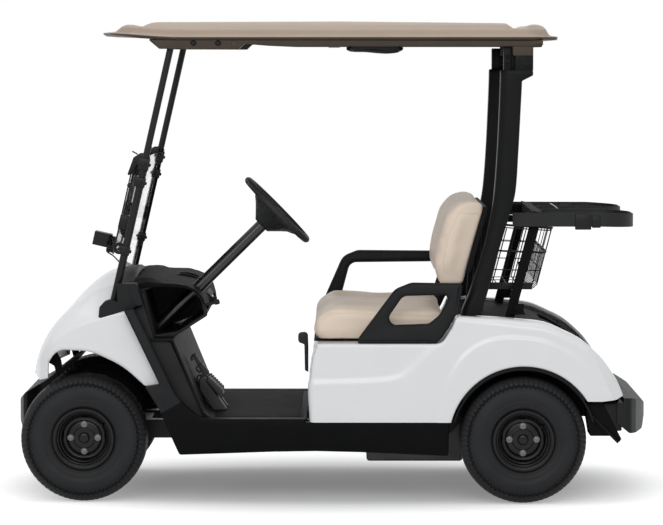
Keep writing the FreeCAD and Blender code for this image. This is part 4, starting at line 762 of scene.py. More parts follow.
def sculpt(obj, change):
    """Moves every point of a mesh by a function of its coordinates in millimetres."""
    obj.data.vertices.foreach_set("co", (change(points_of(obj) / MM) * MM).ravel())
    obj.data.update()


def relax(obj, rounds):
    """Evens out a mesh's points."""
    bm = bmesh.new()
    bm.from_mesh(obj.data)
    for _ in range(rounds):
        bmesh.ops.smooth_vert(bm, verts=bm.verts, factor=0.5, use_axis_x=True, use_axis_y=True, use_axis_z=True)
    bm.to_mesh(obj.data)
    bm.free()


def finish_pad(obj, body, node):
    relax(obj, 2)
    more = obj.modifiers.new("subdivide", "SUBSURF")
    more.levels = more.render_levels = 1
    apply_modifiers(obj)
    obj.data.materials.clear()
    finish_mesh(obj.data, VINYL, 60)
    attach(obj, body)
    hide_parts(node)


def seam(bm, obj, starts, direction):
    """Sews a thin welt where rays from the starts meet the piece's surface."""
    line = []
    for start in starts:
        hit, place, normal, _ = obj.ray_cast(Vector(start) * MM, Vector(direction))
        if hit:
            line.append((place + normal * 0.0002) / MM + Vector(direction) * 0.7)
    tube(bm, line, 1.9, 6)


SEAT = [(64, 608, 8), (83, 636, 24), (72, 690, 44), (4, 725, 66), (-180, 714, 600), (-398, 714, 34),
        (-433, 700, 30), (-429, 650, 30), (-405, 608, 10)]
BACK = [(-402, 804, 12), (-384, 872, 60), (-398, 956, 300), (-430, 1066, 100), (-473, 1118, 56),
        (-528, 1131, 40), (-571, 1114, 18), (-493, 826, 12), (-487, 804, 6)]


SEAT_WELT = flat_curve([(64, 628), (60, 655), (44, 680), (10, 700), (-60, 705), (-180, 699), (-300, 697),
                        (-400, 694)])


def make_seat_cushion():
    def draw_in(x, z, inset):
        return -172 + (x + 172) * (1 - inset / 250), 608 + (z - 608) * (1 - inset / 114)

    obj = pad_mesh("seat_cushion_cover", SEAT, 500, 30, 4, draw_in)
    puff(obj, 10)

    def shape(co):
        x, y, z = co.T.copy()
        up, wide = ramp(z - 640, 50), np.abs(y)
        z -= 18 * ramp(150 - np.abs(wide - 245), 100) * up * ramp(30 - x, 90) * ramp(x + 430, 70)
        z += 3.0 * ramp(60 - wide, 50) * up * ramp(40 - x, 60)
        z -= (bell(wide - 46, 6.5) * 3.6 + bell(wide - 424, 7) * 6.5) * up * ramp(90 - x, 60)
        y -= np.sign(y) * 6 * bell(offset_from(SEAT_WELT, x, z), 5.5) * ramp(wide - 440, 40)
        x -= bell(np.abs(y) - 424, 7) * 4.5 * ramp(x - 20, 50) * ramp(z - 625, 30)
        y -= np.sign(y) * 8 * ramp(640 - z, 34) * ramp(np.abs(y) - 420, 70)
        z = np.maximum(z, 608.2)
        low, high = np.array([-434, -499, 608.2]), np.array([83.5, 499, 726])
        return np.clip(np.stack([x, y, z], axis=1), low, high)

    relax(obj, 1)
    sculpt(obj, shape)
    finish_pad(obj, "seat", "seat_cushion")
    bm = bmesh.new()
    for side in (1, -1):
        seam(bm, obj, [(x, side * 700, z) for x, z in SEAT_WELT], (0, -side, 0))
    seam(bm, obj, [(400, y, 668) for y in np.linspace(-452, 452, 80)], (-1, 0, 0))
    new_piece("seat_cushion_seams", bm, VINYL, "vinyl", 60, body="seat")


def make_seat_back():
    def plane_at(z):
        return -489 - (z - 816) * 0.272

    def draw_in(x, z, inset):
        rear = plane_at(z)
        return rear + (x - rear) * (1 - inset / 105), 960 + (z - 960) * (1 - 0.6 * inset / 170)

    obj = pad_mesh("seat_back_cover", BACK, 452, 20, 3, draw_in)
    puff(obj, 8)

    def shape(co):
        x, y, z = co.T.copy()
        front_x = np.interp(z, [802, 872, 956, 1066, 1117, 1131], [-396, -383, -397, -430, -470, -510])
        front, wide = ramp(x - front_x + 60, 40), np.abs(y)
        dish = 12 * ramp(190 - np.abs(wide - 222), 130) * ramp(z - 815, 60) * ramp(1112 - z, 70)
        x -= (dish + bell(y, 7.0) * 4.0 + bell(wide - 388, 6.0) * 2.6) * front
        y -= np.sign(y) * bell(z - 1068 - 0.05 * (x + 520), 5.0) * 2.2 * ramp(wide - 425, 20)
        x = np.maximum(x, plane_at(z))
        low, high = np.array([-576, -451.5, 800.3]), np.array([-385, 451.5, 1130.9])
        return np.clip(np.stack([x, y, z], axis=1), low, high)

    relax(obj, 1)
    sculpt(obj, shape)
    finish_pad(obj, "chassis", "seat_back")
    bm = bmesh.new()
    for side in (1, -1):
        rim = [(np.interp(z, [802, 894, 995, 1070, 1115], [-419, -414, -438, -468, -506]), side * 700, z)
               for z in np.linspace(822, 1098, 50)]
        level = [(x, side * 700, 1078) for x in np.linspace(-484, -546, 12)]
        for path in (rim, level):
            seam(bm, obj, path, (0, -side, 0))
    new_piece("seat_back_seams", bm, VINYL, "vinyl", 60)


make_seat_cushion()
make_seat_back()


# luggage

LEAN = math.tan(math.radians(12.9))


def make_basket():
    """Welded wire basket: a round rim, hoops round it and wires down its faces and under its floor."""
    bm = bmesh.new()
    front, depth, half, low, rise = -590.5, 177.0, 377.0, 786.5, 243.0
    slope = LEAN + 0.016
    rear, lean_at, top = front - depth, rise * slope, low + rise - 2

    def corner_ring(level, grow):
        x1, x0, y = front - level * slope + grow, rear - level * slope - grow, half + grow
        ring = rounded([(x1, y, 26), (x1, -y, 26), (x0, -y, 26), (x0, y, 26)], 0.35)
        return [(p.x, p.y, low + level * (1 - 12 / 243 * (x1 - p.x) / depth)) for p in ring]

    for level, grow, radius, sides in ((rise, 0.5, 4.2, 10), (75, 0, 2.2, 6), (144, 0, 2.2, 6),
                                       (rise - 10, 0, 2.2, 6), (148, 2.5, 1.6, 6)):
        tube(bm, corner_ring(level, grow), radius, sides, closed=True)
    for k, y in enumerate(np.linspace(-half + 26, half - 26, 13)):
        path = [(front - lean_at, y, top), (front - 5, y, low + 20), (front - 12, y, low + 5),
                (front - 24, y, low), (rear + 24, y, low), (rear + 9, y, low + 5), (rear - 4, y, low + 20),
                (rear - lean_at + 1, y, top - 11)]
        if k % 3:
            path = path[4:7] + [(rear - 150 * slope, y, low + 148)]
        tube(bm, path, 1.7, 6)
    for share in (0.24, 0.456, 0.672, 0.888):
        x = front - depth * share
        path = [(x - lean_at, half, top - 12 * share), (x - 4, half, low + 18), (x, half - 7, low + 5),
                (x, half - 22, low)]
        tube(bm, path + [(px, -y, z) for px, y, z in reversed(path)], 2.2, 6)
    for share in (0.03, 0.985):
        for y in (-half + 8, half - 8):
            x = front - depth * share
            tube(bm, [(x - lean_at, y, low + rise - 14), (x - 4, y, low + 16)], 2.4, 6)
    box(bm, rear + 16, front + 20, half - 3, half + 1, low, low + 26, 1.5)
    new_piece("basket_mesh", bm, WIRE, "wire", 50, "basket")


def make_straps():
    """Webbing loops with a buckle on each, the rack's feet and side arms, and a thin white cord on the far strap
    that is a painted highlight of its edge.
    """
    bm, hard, feet, strap_highlight = (bmesh.new() for _ in range(4))
    plan = rounded([(-672, 486), (-1128, 486, 118), (-1128, 113, 118), (-786.5, 113)], 0.12)
    last = len(plan) - 1
    for side in (1, -1):
        rows = []
        for i, p in enumerate(plan):
            along = (plan[min(last, i + 1)] - plan[max(0, i - 1)]).normalized()
            sag = 7.0 * math.sin(math.pi * i / last)
            z1, z0 = 1080.5 - sag, 1028.5 - sag * 0.6
            rows.append([(p.x - along.y * w, side * (p.y + along.x * w), h) for w, h in (
                (-2.4, z0 + 1.2), (-2.4, z1 - 1.2), (-1.2, z1), (1.2, z1), (2.4, z1 - 1.2), (2.4, z0 + 1.2),
                (1.2, z0), (-1.2, z0))])
        grid_mesh(bm, rows, close_v=True, caps=True)
        for x0, x1, z0, z1, w in ((-965, -905, 1017, 1075, 7), (-1000, -968, 1024, 1068, 5)):
            box(hard, x0, x1, side * 486 - w, side * 486 + w, z0, z1, 3)
        box(hard, -808, -786, side * 113 - 12, side * 113 + 12, 1040, 1078, 3)
        y = side * 440
        box(feet, -722, -664, y - 26, y + 26, 698, 706, 2)
        box(feet, -716, -676, y + side * 15, y + side * 21, 700, 738, 2)
        for z in (716, 742, 806):
            x = -684 - (z - 716) * LEAN
            lathe(feet, [(0.3, 24), (5, 23), (6, 20), (6, 16)], (x, y, z), (0, side, 0), 12)
        box(feet, -800, -640, *span(side, 457, 469), 1045, 1071, 2)
    # A thin white cord across the far strap: a painted highlight along the strap's edge.
    tube(strap_highlight, smooth_path([(-846, -110, 1090), (-858, -106, 1084), (-880, -106, 1068), (-900, -106, 1057),
                            (-915, -108, 1054)], 5), 1.8, 6)
    new_piece("bag_loops", bm, STRAP, "strap", 40, "bag_straps")
    new_piece("bag_buckles", hard, BLACK, "strap", 30)
    new_piece("rack_feet", feet, RACK, "canopy_steel", 30)
    new_piece("strap_highlight_line", strap_highlight, WHITE, "strap", 60)


make_basket()
make_straps()


# steering wheel

COLUMN = math.radians(44.5)
AXIS_DOWN = Vector((math.cos(COLUMN), 0, -math.sin(COLUMN)))
WHEEL_AT = Vector((209, 280, 1082))


def make_steering_wheel():
    """Moulded rim with finger bumps behind it, three spokes and a dished hub cover."""
    bm = bmesh.new()
    up = Vector((math.sin(COLUMN), 0, math.cos(COLUMN)))

    def at(radius, angle, along):
        return WHEEL_AT + (up * math.sin(angle) + Vector((0, math.cos(angle), 0))) * radius + AXIS_DOWN * along

    rows = []
    for a in circle(144):
        ring = []
        for b in circle(14):
            grip = 12.2 + (0.9 * math.cos(a * 36) if math.sin(b) > 0.1 or abs(math.cos(b)) > 0.8 else 0)
            ring.append(at(156 + grip * math.cos(b), a, 13.0 * math.sin(b)))
        rows.append(ring)
    grid_mesh(bm, rows, close_u=True, close_v=True)
    lathe(bm, [(0.5, 15), (60, 15), (84, 12), (97, 12), (101, 16), (98, 22), (84, 33), (72, 44), (56, 60),
               (42, 74), (33, 84), (0.5, 84)], WHEEL_AT, AXIS_DOWN, 48)
    for angle in (0, math.pi, -math.pi / 2):
        rows = []
        for share in np.linspace(0, 1, 9):
            radius = 48 + share * 104
            drop = 33 * (1 - step(share, 0, 1)) + 1
            turn = math.atan2(19 - 9 * step(share, 0, 0.9), radius)
            deep = 9 - 3 * share
            rows.append([at(radius, angle + turn * math.cos(b), drop + deep * math.sin(b)) for b in circle(12)])
        grid_mesh(bm, rows, close_v=True, caps=True)
    lathe(bm, [(0.5, 74), (8, 74), (8, 124), (0.5, 124)], WHEEL_AT, AXIS_DOWN, 20)
    new_piece("steering_wheel_moulding", bm, GRIP, "trim_charcoal", 50, "steering_wheel", body="steering_wheel")


make_steering_wheel()


# armrests, struts and roof

def make_armrests():
    for name, side, low, high, top in (("left", 1, -96, -233, 825), ("right", -1, 68, -38, 882)):
        outer = [(low, 598.3, 4), (low, 616.3, 20), (high, top - 24, 60), (high - 60, top, 50),
                 (-485, top - 3, 12), (-469, 715, 20), (-451, 693, 14), (-435, 659, 60), (-401, 612, 30),
                 (-383, 598.3, 4)]
        hole = [(high - 30, top - 50, 34), (-437, top - 46, 14), (-397, 704, 40), (-359, 672, 30),
                (low - 92, 666, 26)]
        bm = bmesh.new()
        slab(bm, [outer, hole], *span(side, 544, 584), 15)
        new_piece("arm_moulding_" + name, bm, TRIM, "trim_charcoal", 50, "armrest_" + name)


STRUT_FRONT = [(701, -478), (794, -513), (945, -560), (1088, -592), (1159, -602), (1300, -612), (1500, -621),
               (1611, -624)]
STRUT_REAR = [(701, -556), (794, -580), (945, -620), (1088, -662), (1159, -680), (1300, -690), (1480, -699),
              (1568, -703)]


def make_rear_struts():
    """Hollow-looking covers with a rounded front edge, and the steel heads that carry the roof."""
    bm = bmesh.new()
    rows = []
    for z in (*np.linspace(701.3, 1568, 46), 1572, 1591, 1596, 1606, 1609.5, 1611):
        inset = 2.5 * max(0.0, (z - 1606) / 5) + 1.5 * max(0.0, (706 - z) / 5)
        front = curve_value(z, STRUT_FRONT) - inset
        rear = curve_value(min(z, 1568.0), STRUT_REAR) - 41 * step(z, 1568, 1593) + inset
        y0, y1, ring = 472 + inset, 548 - inset, []
        for cx, cy, rx, ry, start in ((front - 40, y1 - 26, 40, 26, 0), (rear + 7, y1 - 10, 7, 10, 90),
                                      (rear + 7, y0 + 7, 7, 7, 180), (front - 7, y0 + 7, 7, 7, 270)):
            ring += [(cx + rx * math.cos(a), cy + ry * math.sin(a), z)
                     for a in np.radians(np.linspace(start, start + 90, 7))]
        rows.append(ring)
    grid_mesh(bm, rows, close_v=True, caps=True)
    for block in ((-663, -635, 496, 536, 1608, 1694, 3), (-690, -655, 505, 518, 1608, 1694, 1),
                  (-744, -676, 490, 545, 1608, 1669, 4), (-742, -700, 486, 546, 1622, 1640, 2)):
        box(bm, *block)
    for z in (1632, 1660):
        lathe(bm, [(0.2, 40), (4, 39.6), (6.5, 37), (6.8, 34)], (-649, 500, z), (0, 1, 0), 14)
    mirrored_copy(bm)
    new_piece("strut_covers", bm, STRUT, "strut_black", 40, "rear_struts")
ROOF_TOP = [
    (-840, 1736), (-808, 1738), (-801, 1747), (-794, 1765), (-785, 1776), (-768, 1782.5), (-740, 1780),
    (-724, 1771), (-712, 1766), (-668, 1766), (-661, 1772), (-653, 1783), (-640, 1785.5), (-28, 1793),
    (640, 1790), (662, 1788.5), (676, 1786), (690, 1779), (706, 1770.5), (722, 1774), (738, 1779),
    (764, 1780), (776, 1776), (790, 1766), (800, 1757), (806, 1753), (862, 1751)]
ROOF_PLAN = [(732, 560, 120), (822, 490, 90), (862, 360, 300), (862, -360, 300), (822, -490, 90),
             (732, -560, 120), (-760, -560, 90), (-840, -470, 90), (-840, 470, 90), (-760, 560, 90)]

ROOF_EDGE = [(0, 0), (3, 2.4), (12, 2.8), (15, 4.5), (25, 24), (31, 29), (46, 31.5), (50, 35), (58, 40),
             (100, 51), (150, 58), (220, 60)]


def roof_lip(x):
    """Height of the canopy's edge, which rises towards the front."""
    return 1735 + 14 * step(x, 560, 850)


def roof_height(x, inward):
    """Height of the canopy a distance inside its edge: flange, steep flank, rounded shoulder, flat crown."""
    lip = roof_lip(x)
    flank, soft = lip + curve_value(inward, ROOF_EDGE), 1.6
    crown = line_height(min(max(x, -839.9), 861.9), ROOF_TOP)
    low = min(flank, crown)
    return max(lip, low - soft * math.log(math.exp(-(flank - low) / soft) + math.exp(-(crown - low) / soft)))


# shares of the way from the canopy's edge to its spine
ROOF_SHARES = [0.0, 0.003, 0.007, 0.012, 0.017, 0.022, 0.029, 0.036, 0.043, 0.05, 0.058, 0.068, 0.08, 0.09, 0.1,
               0.12, 0.14, 0.17, 0.2, 0.25, 0.3, 0.4, 0.52, 0.66, 0.82, 1.0]
UNDER_LIP = [(0.0, 2.5), (0.001, 7), (0.006, 10), (0.014, 13.0), (0.05, 12.6), (0.16, 12.0)]
CEILING = [0.185, 0.22, 0.3, 0.45, 0.7, 1.0]
CEILING_DROP = 8.0


def make_roof():
    """The canopy's skin: ceiling, lip and upper side, whose lower faces take the rails' dark brown as painted
    shade.
    """
    ring = loop_points(ROOF_PLAN, 420)
    rows = []
    for p in ring:
        spine = Vector((max(-640.0, min(640.0, p.x)), 0.0))
        row = [(p.lerp(spine, share), None, CEILING_DROP) for share in reversed(CEILING)]
        for share, drop in reversed(UNDER_LIP):
            q = p.lerp(spine, share)
            if share < 0.04:
                row.append((q, max(roof_lip(q.x) - drop * (1 - 0.45 * step(p.x, 700, 860)), 1722.0), 0.0))
            else:
                row.append((q, roof_lip(q.x) - drop + 6 * share, 0.0))
        rows.append(row + [(p.lerp(spine, share), None, 0.0) for share in ROOF_SHARES])
    px, py = (np.array([[q[k] for q, _, _ in row] for row in rows]) for k in (0, 1))
    inward = np.abs(offset_from([(p.x, p.y) for p in ring + ring[:1]], px, py))
    bm = bmesh.new()
    grid_mesh(bm, [[(q.x, q.y, roof_height(q.x, away) - sink if z is None else z)
                    for (q, z, sink), away in zip(row, inward[i])] for i, row in enumerate(rows)], close_u=True)
    merge(bm, 0.0001)
    face_alike(bm)
    # Faces that look down or lie under the lip take the dark brown: painted shade under the canopy's edge.
    for face in bm.faces:
        middle = face.calc_center_median() / MM
        below = face.normal.z < 0.2 and middle.z < roof_lip(middle.x) - 1.5
        face.material_index = 1 if face.normal.z < -0.6 or below else 0
    obj = new_piece("roof_skin", bm, STONE, "roof_stone", 30, "roof")
    obj.data.materials.append(BROWN)


def make_rails():
    """Rails, cross bars and bolts under the canopy, and its two handles."""
    bm, bolts, grips = (bmesh.new() for _ in range(3))
    slab(bm, [[(-780, 1721.7), (-780, 1703, 3), (-735, 1699, 30), (150, 1699, 200), (262, 1704, 80),
               (324, 1709, 14), (345, 1688.5, 8), (640, 1689.5, 8), (676, 1720, 4), (676, 1726)]], 480, 548, 5)
    box(bm, -744, -668, 484, 547, 1664, 1700, 4)
    slab(bm, [[(352, 1719), (352, 1697, 3), (372, 1697, 3), (372, 1719)]], 544, 550, 1.5)
    for x in (513, 422):
        lathe(bolts, [(0.2, 12.5), (5, 11.8), (8.4, 9.4), (9.4, 6), (12.5, 5.6), (13, 2)], (x, 543, 1712),
              (0, 1, 0), 20)
    grip = [(-60, 479, 1694), (-68, 468, 1690), (-84, 452, 1688), (-130, 442, 1687), (-175, 440, 1683),
            (-212, 441, 1681), (-240, 452, 1684), (-256, 479, 1692)]
    tube(grips, smooth_path(grip, 6), 9, 12)
    slab(grips, [[(-52, 1702, 3), (-58, 1688, 6), (-150, 1690, 60), (-205, 1683, 40), (-252, 1686, 8),
                  (-264, 1702, 3)]], 464, 479, 3)
    for part in (bm, bolts, grips):
        mirrored_copy(part)
    for x in (590, -28, -780):
        box(bm, x, x + 46, -482, 482, 1696, 1721.7, 3)
    new_piece("rail_bolts", bolts, BLACK, "canopy_steel", 40)
    new_piece("canopy_rails", bm, BROWN, "canopy_steel", 40, "roof_rails")
    new_piece("roof_grips", grips, BLACK, "fitting_black", 50, "roof_handles")


make_armrests()
make_rear_struts()
make_roof()
make_rails()


# dashboard, liners, sills and brackets

def carve(obj, cutter):
    """Cuts a bmesh out of a piece."""
    tool = link_mesh("scratch", cutter)
    cut = obj.modifiers.new("cut", "BOOLEAN")
    cut.operation = "DIFFERENCE"
    cut.solver = "EXACT"
    cut.object = tool
    apply_modifiers(obj)
    mesh = tool.data
    bpy.data.objects.remove(tool)
    bpy.data.meshes.remove(mesh)


SHELF_LIP = [(573, 813), (540, 805.5), (513, 793), (497, 777), (484, 758), (476, 742), (472, 727)]
CUP_X, CUPS_Y, CUP_R = 562, (-40, -150), 41
DASH_RIM = [(772, 819, 3), (573, 815, 60), (513, 795, 45), (485, 759, 35), (471, 724, 10), (467, 694, 8),
            (583, 620, 20), (598, 612, 10), (684, 612, 8), (752, 708, 4), (770, 716, 4)]
DASH_WINDOW = [(700, 788, 4), (648, 807, 10), (575, 804, 40), (518, 785, 36), (492, 753, 24), (480, 700, 6),
               (579, 635, 12), (662, 622, 6)]
# plates on both sides of the dashboard: near and far y, rounding, outline
DASH_PLATES = [
    (466, 551.5, 3, [(800, 818.5, 3), (727, 818.5, 3), (700, 738, 3), (733, 733, 3), (744, 719, 3),
                     (797, 719, 3)]),
    (545, 554, 2, [(763, 815, 2), (728, 815, 2), (702.5, 741, 2), (732, 737, 2)]),
    (463, 476, 2, [(703, 786, 2), (690, 738, 2), (664, 621, 2), (676, 621, 2), (722, 770, 3)]),
    (122, 130, 1.5, [(700, 806), (575, 801), (517, 782), (490, 750), (479, 706), (550, 662), (662, 618)]),
]
COWL = [(742, -14), (744, 1), (748, 4), (760, 4.5), (780, 4.5), (798, 4.5), (804, 3.5), (807, 0), (807, -8)]


def make_shelf():
    """The dashboard's moulded shelf with a hole for each cup holder."""
    rows = []
    for y in (-471, -470, -468, *np.linspace(-464, 464, 117), 468, 470, 471):
        up = 13 * min(1.0, max(0.0, 1 - (abs(y) - 392) / 74))
        end = 5 * max(0.0, (abs(y) - 465) / 6)
        ring = [(752, 800 + 0.7 * up), (747, 812 + up), (738, 817 + up), (700, 819 + up), (676, 818 + 0.9 * up),
                (650, 817 + 0.25 * up), (630, 816 + 0.04 * up), *SHELF_LIP, (474, 722), (480, 724), (484, 740),
                (492, 755), (504, 771), (518, 783), (542, 794), (575, 800), (640, 803), (752, 790)]
        rows.append([(x + (590 - x) * end / 120, y, z + (802 - z) * end / 22) for x, z in ring])
    bm, cutter = bmesh.new(), bmesh.new()
    grid_mesh(bm, rows, close_v=True, caps=True)
    obj = new_piece("dash_shelf", bm, DECK, "trim_charcoal", 50, "dashboard")
    for y in CUPS_Y:
        lathe(cutter, [(CUP_R, 700), (CUP_R, 900)], (CUP_X, y, 0), (0, 0, 1), 40, caps=True)
    face_alike(cutter)
    carve(obj, cutter)


def make_dashboard():
    """Cup holders, a window in each cheek, the panel between two open cubbies, and the trim before the hood."""
    bm = bmesh.new()
    for y in CUPS_Y:
        lathe(bm, [(41.4, 742), (41.4, 816), (43, 818.6), (46.5, 819), (48, 816.5), (46, 814), (44, 813.6),
                   (44, 739), (1, 739), (1, 742)], (CUP_X, y, 0), (0, 0, 1), 40)
    for v in bm.verts:
        if v.co.z > 0.8:
            v.co.z += (line_height(v.co.x / MM, [(630, 816), *SHELF_LIP]) - 816) * MM
    for side in (1, -1):
        slab(bm, [DASH_RIM, DASH_WINDOW], *span(side, 449, 470), 4)
        for y0, y1, edge, outline in DASH_PLATES:
            slab(bm, [outline], *span(side, y0, y1), edge)
    for block in ((476, 490, -123, 123, 700, 756, 4), (470, 478, -104, 30, 706, 750, 3),
                  (470, 478, 42, 110, 706, 750, 3)):
        box(bm, *block)
    for y in (62, 90):
        lathe(bm, [(0.3, 26), (8, 26), (9.5, 24), (9.5, 8), (13, 6), (13, 0)], (472, y, 728), (-1, 0, 0), 20)
    lathe(bm, [(0.3, 54), (7, 54), (9.6, 51.5), (9.6, 36), (6, 34), (6, 0)], (474, 456, 733), (-0.96, 0, 0.26),
          20)
    new_piece("dash_frame", bm, TRIM, "trim_charcoal", 40)
    bm = bmesh.new()
    grid_mesh(bm, [[(x, y, hood_height(x, y) + lift) for x, lift in COWL]
                   for y in np.linspace(-549, 549, 111).tolist()])
    new_piece("cowl_trim", bm, TRIM, "trim_charcoal", 50)
    bm = bmesh.new()
    slab(bm, [[(706, 795), (664, 616), (657, 618), (699, 795)]], -450, 450, 1.5)
    slab(bm, [[(664, 612, 2), (583, 621, 4), (470, 695, 2), (474, 703, 2), (586, 630, 4), (664, 621, 2)]],
         -450, 450, 1.5)
    new_piece("dash_cubby", bm, DARK, "trim_charcoal", 40)


SILL = [(772, 722, 3), (640, 446, 6), (695, 437, 4), (643, 356, 120), (569, 180, 12), (60, 198, 4000),
        (-432.7, 176, 8), (-435.4, 305, 3), (99, 305), (99, 318, 3), (490, 318, 40), (575, 390, 200),
        (734, 726, 4)]
TUCK_Z, TUCK = 0.292, 0.34
SHADE_AT, SHADE_SLOPE = (0.6, 0, 0.36), 0.55


def split(bm, place, normal):
    bmesh.ops.bisect_plane(bm, geom=bm.verts[:] + bm.edges[:] + bm.faces[:], plane_co=place, plane_no=normal)


def make_sills():
    """Sills with the corner posts, tucked in along the foot, with painted shade below a slanted line, where they
    take the darker black.
    """
    bm = bmesh.new()
    slab(bm, [SILL], 528, 590, 5)
    split(bm, (0, 0, TUCK_Z), (0, 0, 1))
    for v in bm.verts:
        if v.co.z < TUCK_Z and v.co.y > 0.55:
            v.co.y -= (TUCK_Z - v.co.z) * TUCK
    # Below this slanted line the faces take the darker black plastic: painted shade on the sill's lower part.
    split(bm, SHADE_AT, (SHADE_SLOPE, 0, 1))
    for face in bm.faces:
        middle = face.calc_center_median() - Vector(SHADE_AT)
        face.material_index = 0 if middle.z + SHADE_SLOPE * middle.x > 0 else 1
    mirrored_copy(bm)
    obj = new_piece("sill_covers", bm, TRIM, "trim_charcoal", 40, "sills")
    obj.data.materials.append(DARK)


# name, look, near and far y, rounding, outline
PLATES = [
    ("post_liners", AXLE, 496, 510, 3, [(742, 722, 3), (703, 737, 3), (665, 612, 6), (602, 600, 6),
                                        (478, 319, 3), (600, 319, 3), (652, 430, 6)]),
    ("flap_brackets", DARK, 440, 556, 5, [(-944, 376, 4), (-1004, 380, 8), (-1077, 240, 5), (-1066, 227, 5),
                                          (-1034, 252, 6), (-958, 252, 8), (-948, 313, 40)]),
    ("bumper_returns", TRIM, 440, 548, 6, [(-998, 374, 6), (-1078, 376, 6), (-1078, 270, 6), (-1040, 270, 10),
                                           (-1016, 302, 10)]),
    ("nose_brackets", DARK, 372, 412, 4, [(1062, 548, 8), (1040, 556, 8), (1022, 520, 8), (1014, 474, 6),
                                          (1036, 462, 6), (1046, 500, 8), (1066, 512, 6)]),
]


def make_plates():
    for name, look, y0, y1, edge, outline in PLATES:
        bm = bmesh.new()
        slab(bm, [outline], y0, y1, edge)
        mirrored_copy(bm)
        new_piece(name, bm, look, "trim_charcoal", 40)


make_shelf()
make_dashboard()
make_sills()
make_plates()


# pedals, lever and floor mat

PEDAL_ARM = [(508, 436, 6), (491, 452, 8), (400, 319, 3), (452, 319, 3), (503, 394, 10)]
PEDAL_PAD = [(472, 449, 9), (413, 390, 9), (431, 371, 9), (481, 432, 9)]
PEDAL_LINK = [(495, 497, 8), (468, 463, 6), (487, 440, 8), (511, 486, 8)]
PEDAL_CATCH = [(519, 532, 8), (498, 495, 6), (513, 486, 6), (531, 521, 8)]
PEDAL_ROD = [(0.3, 48), (8, 48), (10, 46), (10, -46), (8, -48), (0.3, -48)]
LEVER = [(94.3, 440), (108, 446, 6), (110, 548, 8), (134, 556, 14), (134, 594, 14), (96.5, 596, 14),
         (94.3, 540, 10), (94.3, 500)]
# bent wires beside the pedal: y, radius, sides, (x, z) along them
HOOKS = [(245, 5, 10, [(519, 528), (530, 526), (537, 514), (531, 506)]),
         (250, 4, 10, [(508, 486), (518, 478), (515, 468), (501, 462)]),
         (240, 3, 8, [(500, 452), (514, 444), (516, 426), (505, 410)])]


def make_controls():
    bm = bmesh.new()
    for y, wide in ((245, 1.0), (130, 0.66)):
        slab(bm, [PEDAL_ARM], y - 30 * wide, y + 30 * wide, 3)
        slab(bm, [PEDAL_PAD], y - 45 * wide, y + 45 * wide, 6)
        for k in range(7):
            x, z = 466 - 7.6 * k, 444 - 7.6 * k
            box(bm, x - 3, x + 1.2, y - 42 * wide, y + 42 * wide, z - 2, z + 1.4, 0.8)
    slab(bm, [PEDAL_LINK], 226, 264, 4)
    slab(bm, [PEDAL_CATCH], 233, 257, 4)
    for y, radius, sides, path in HOOKS:
        tube(bm, smooth_path([(x, y, z) for x, z in path], 5), radius, sides)
    lathe(bm, PEDAL_ROD, (424, 245, 381), (0, 1, 0), 20)
    slab(bm, [LEVER], -13, 13, 6)
    new_piece("pedals_and_lever", bm, PEDAL, "fitting_black", 40, "small_controls")
    bm = bmesh.new()
    for y in np.linspace(-470, 470, 25):
        box(bm, 118, 440, y - 9, y + 9, 315.2, 317.6, 1)
    box(bm, 108, 450, -490, 490, 314.6, 316.0, 0.6)
    new_piece("floor_mat", bm, FLOOR, "floor_black", 40)


make_controls()


# windscreen fittings, placed along the front struts

FOOT = Vector((815, 0, 755))
TILT = math.radians(12.9)
STRUT_UP = Vector((-math.sin(TILT), 0, math.cos(TILT)))
STRUT_AHEAD = Vector((math.cos(TILT), 0, math.sin(TILT)))


def strut_point(z, y, ahead):
    return FOOT + STRUT_UP * ((z - FOOT.z) / STRUT_UP.z) + STRUT_AHEAD * ahead + Vector((0, y, 0))


def strut_place(z, y=500.0):
    """Frame on a front strut at a height: x ahead, y left, z up along the strut."""
    axes = Matrix((STRUT_AHEAD, Vector((0, 1, 0)), STRUT_UP)).transposed().to_4x4()
    return Matrix.Translation(strut_point(z, y, 0) * MM) @ axes


def make_fittings():
    bm = bmesh.new()
    for z, length in ((1262, 46), (1194, 38), (940, 34)):
        box(bm, -19, 20, -16, 17, -length / 2, length / 2, 4, strut_place(z))
        box(bm, -25, 26, -9, 9, -6, 6, 3, strut_place(z))
        lathe(bm, [(0.3, 12), (5, 12), (7.6, 10), (7.6, 0)], strut_point(z, 516, 2), (0, 1, 0), 16)
    box(bm, -15.5, -11.5, -14, -2, -250, 250, 1.2, strut_place(1050))
    slab(bm, [[(741, 1286, 5), (716, 1302, 5), (696, 1303, 3), (701, 1262, 3), (727, 1256, 5), (757, 1218, 5),
               (764, 1223, 4)]], 452, 478, 4)
    tube(bm, [strut_point(1290, 466, 34), strut_point(1296, 466, 56)], 2.6, 8)
    tube(bm, [strut_point(1276, 474, 34), strut_point(1014, 474, 34)], 3.4, 8)
    lathe(bm, [(0.3, 14), (6, 13), (8.5, 10), (8.5, -4)], strut_point(1173, 474, 38), (0, 1, 0), 18)
    box(bm, -2, 46, -16, 6, -27, 27, 4, strut_place(1037, 474))
    box(bm, 4, 18, 5, 9, -12, 12, 2, strut_place(1040, 474))
    lathe(bm, [(10, 4), (14, 6), (20, 6), (22, 3), (22, -6), (10, -6)], strut_point(941, 478, 24), (0, 1, 0),
          28)
    stay = [(830, 470, 958), (838, 472, 953), (841, 474, 935), (819, 476, 920), (796, 478, 897)]
    tube(bm, smooth_path(stay, 6), 2.8, 8)
    mirrored_copy(bm)
    new_piece("screen_clamps", bm, BLACK, "fitting_black", 40)
    bm = bmesh.new()
    slab(bm, [[(826, 1012, 3), (798, 1016, 3), (786, 990, 4), (800, 945, 6), (838, 942, 8), (846, 965, 4)]],
         440, 446, 1.5)
    new_piece("tray_bracket", bm, CLEAR, "clear_pane", 40)


make_fittings()


# rigid CAD nodes that stay get rounded edges

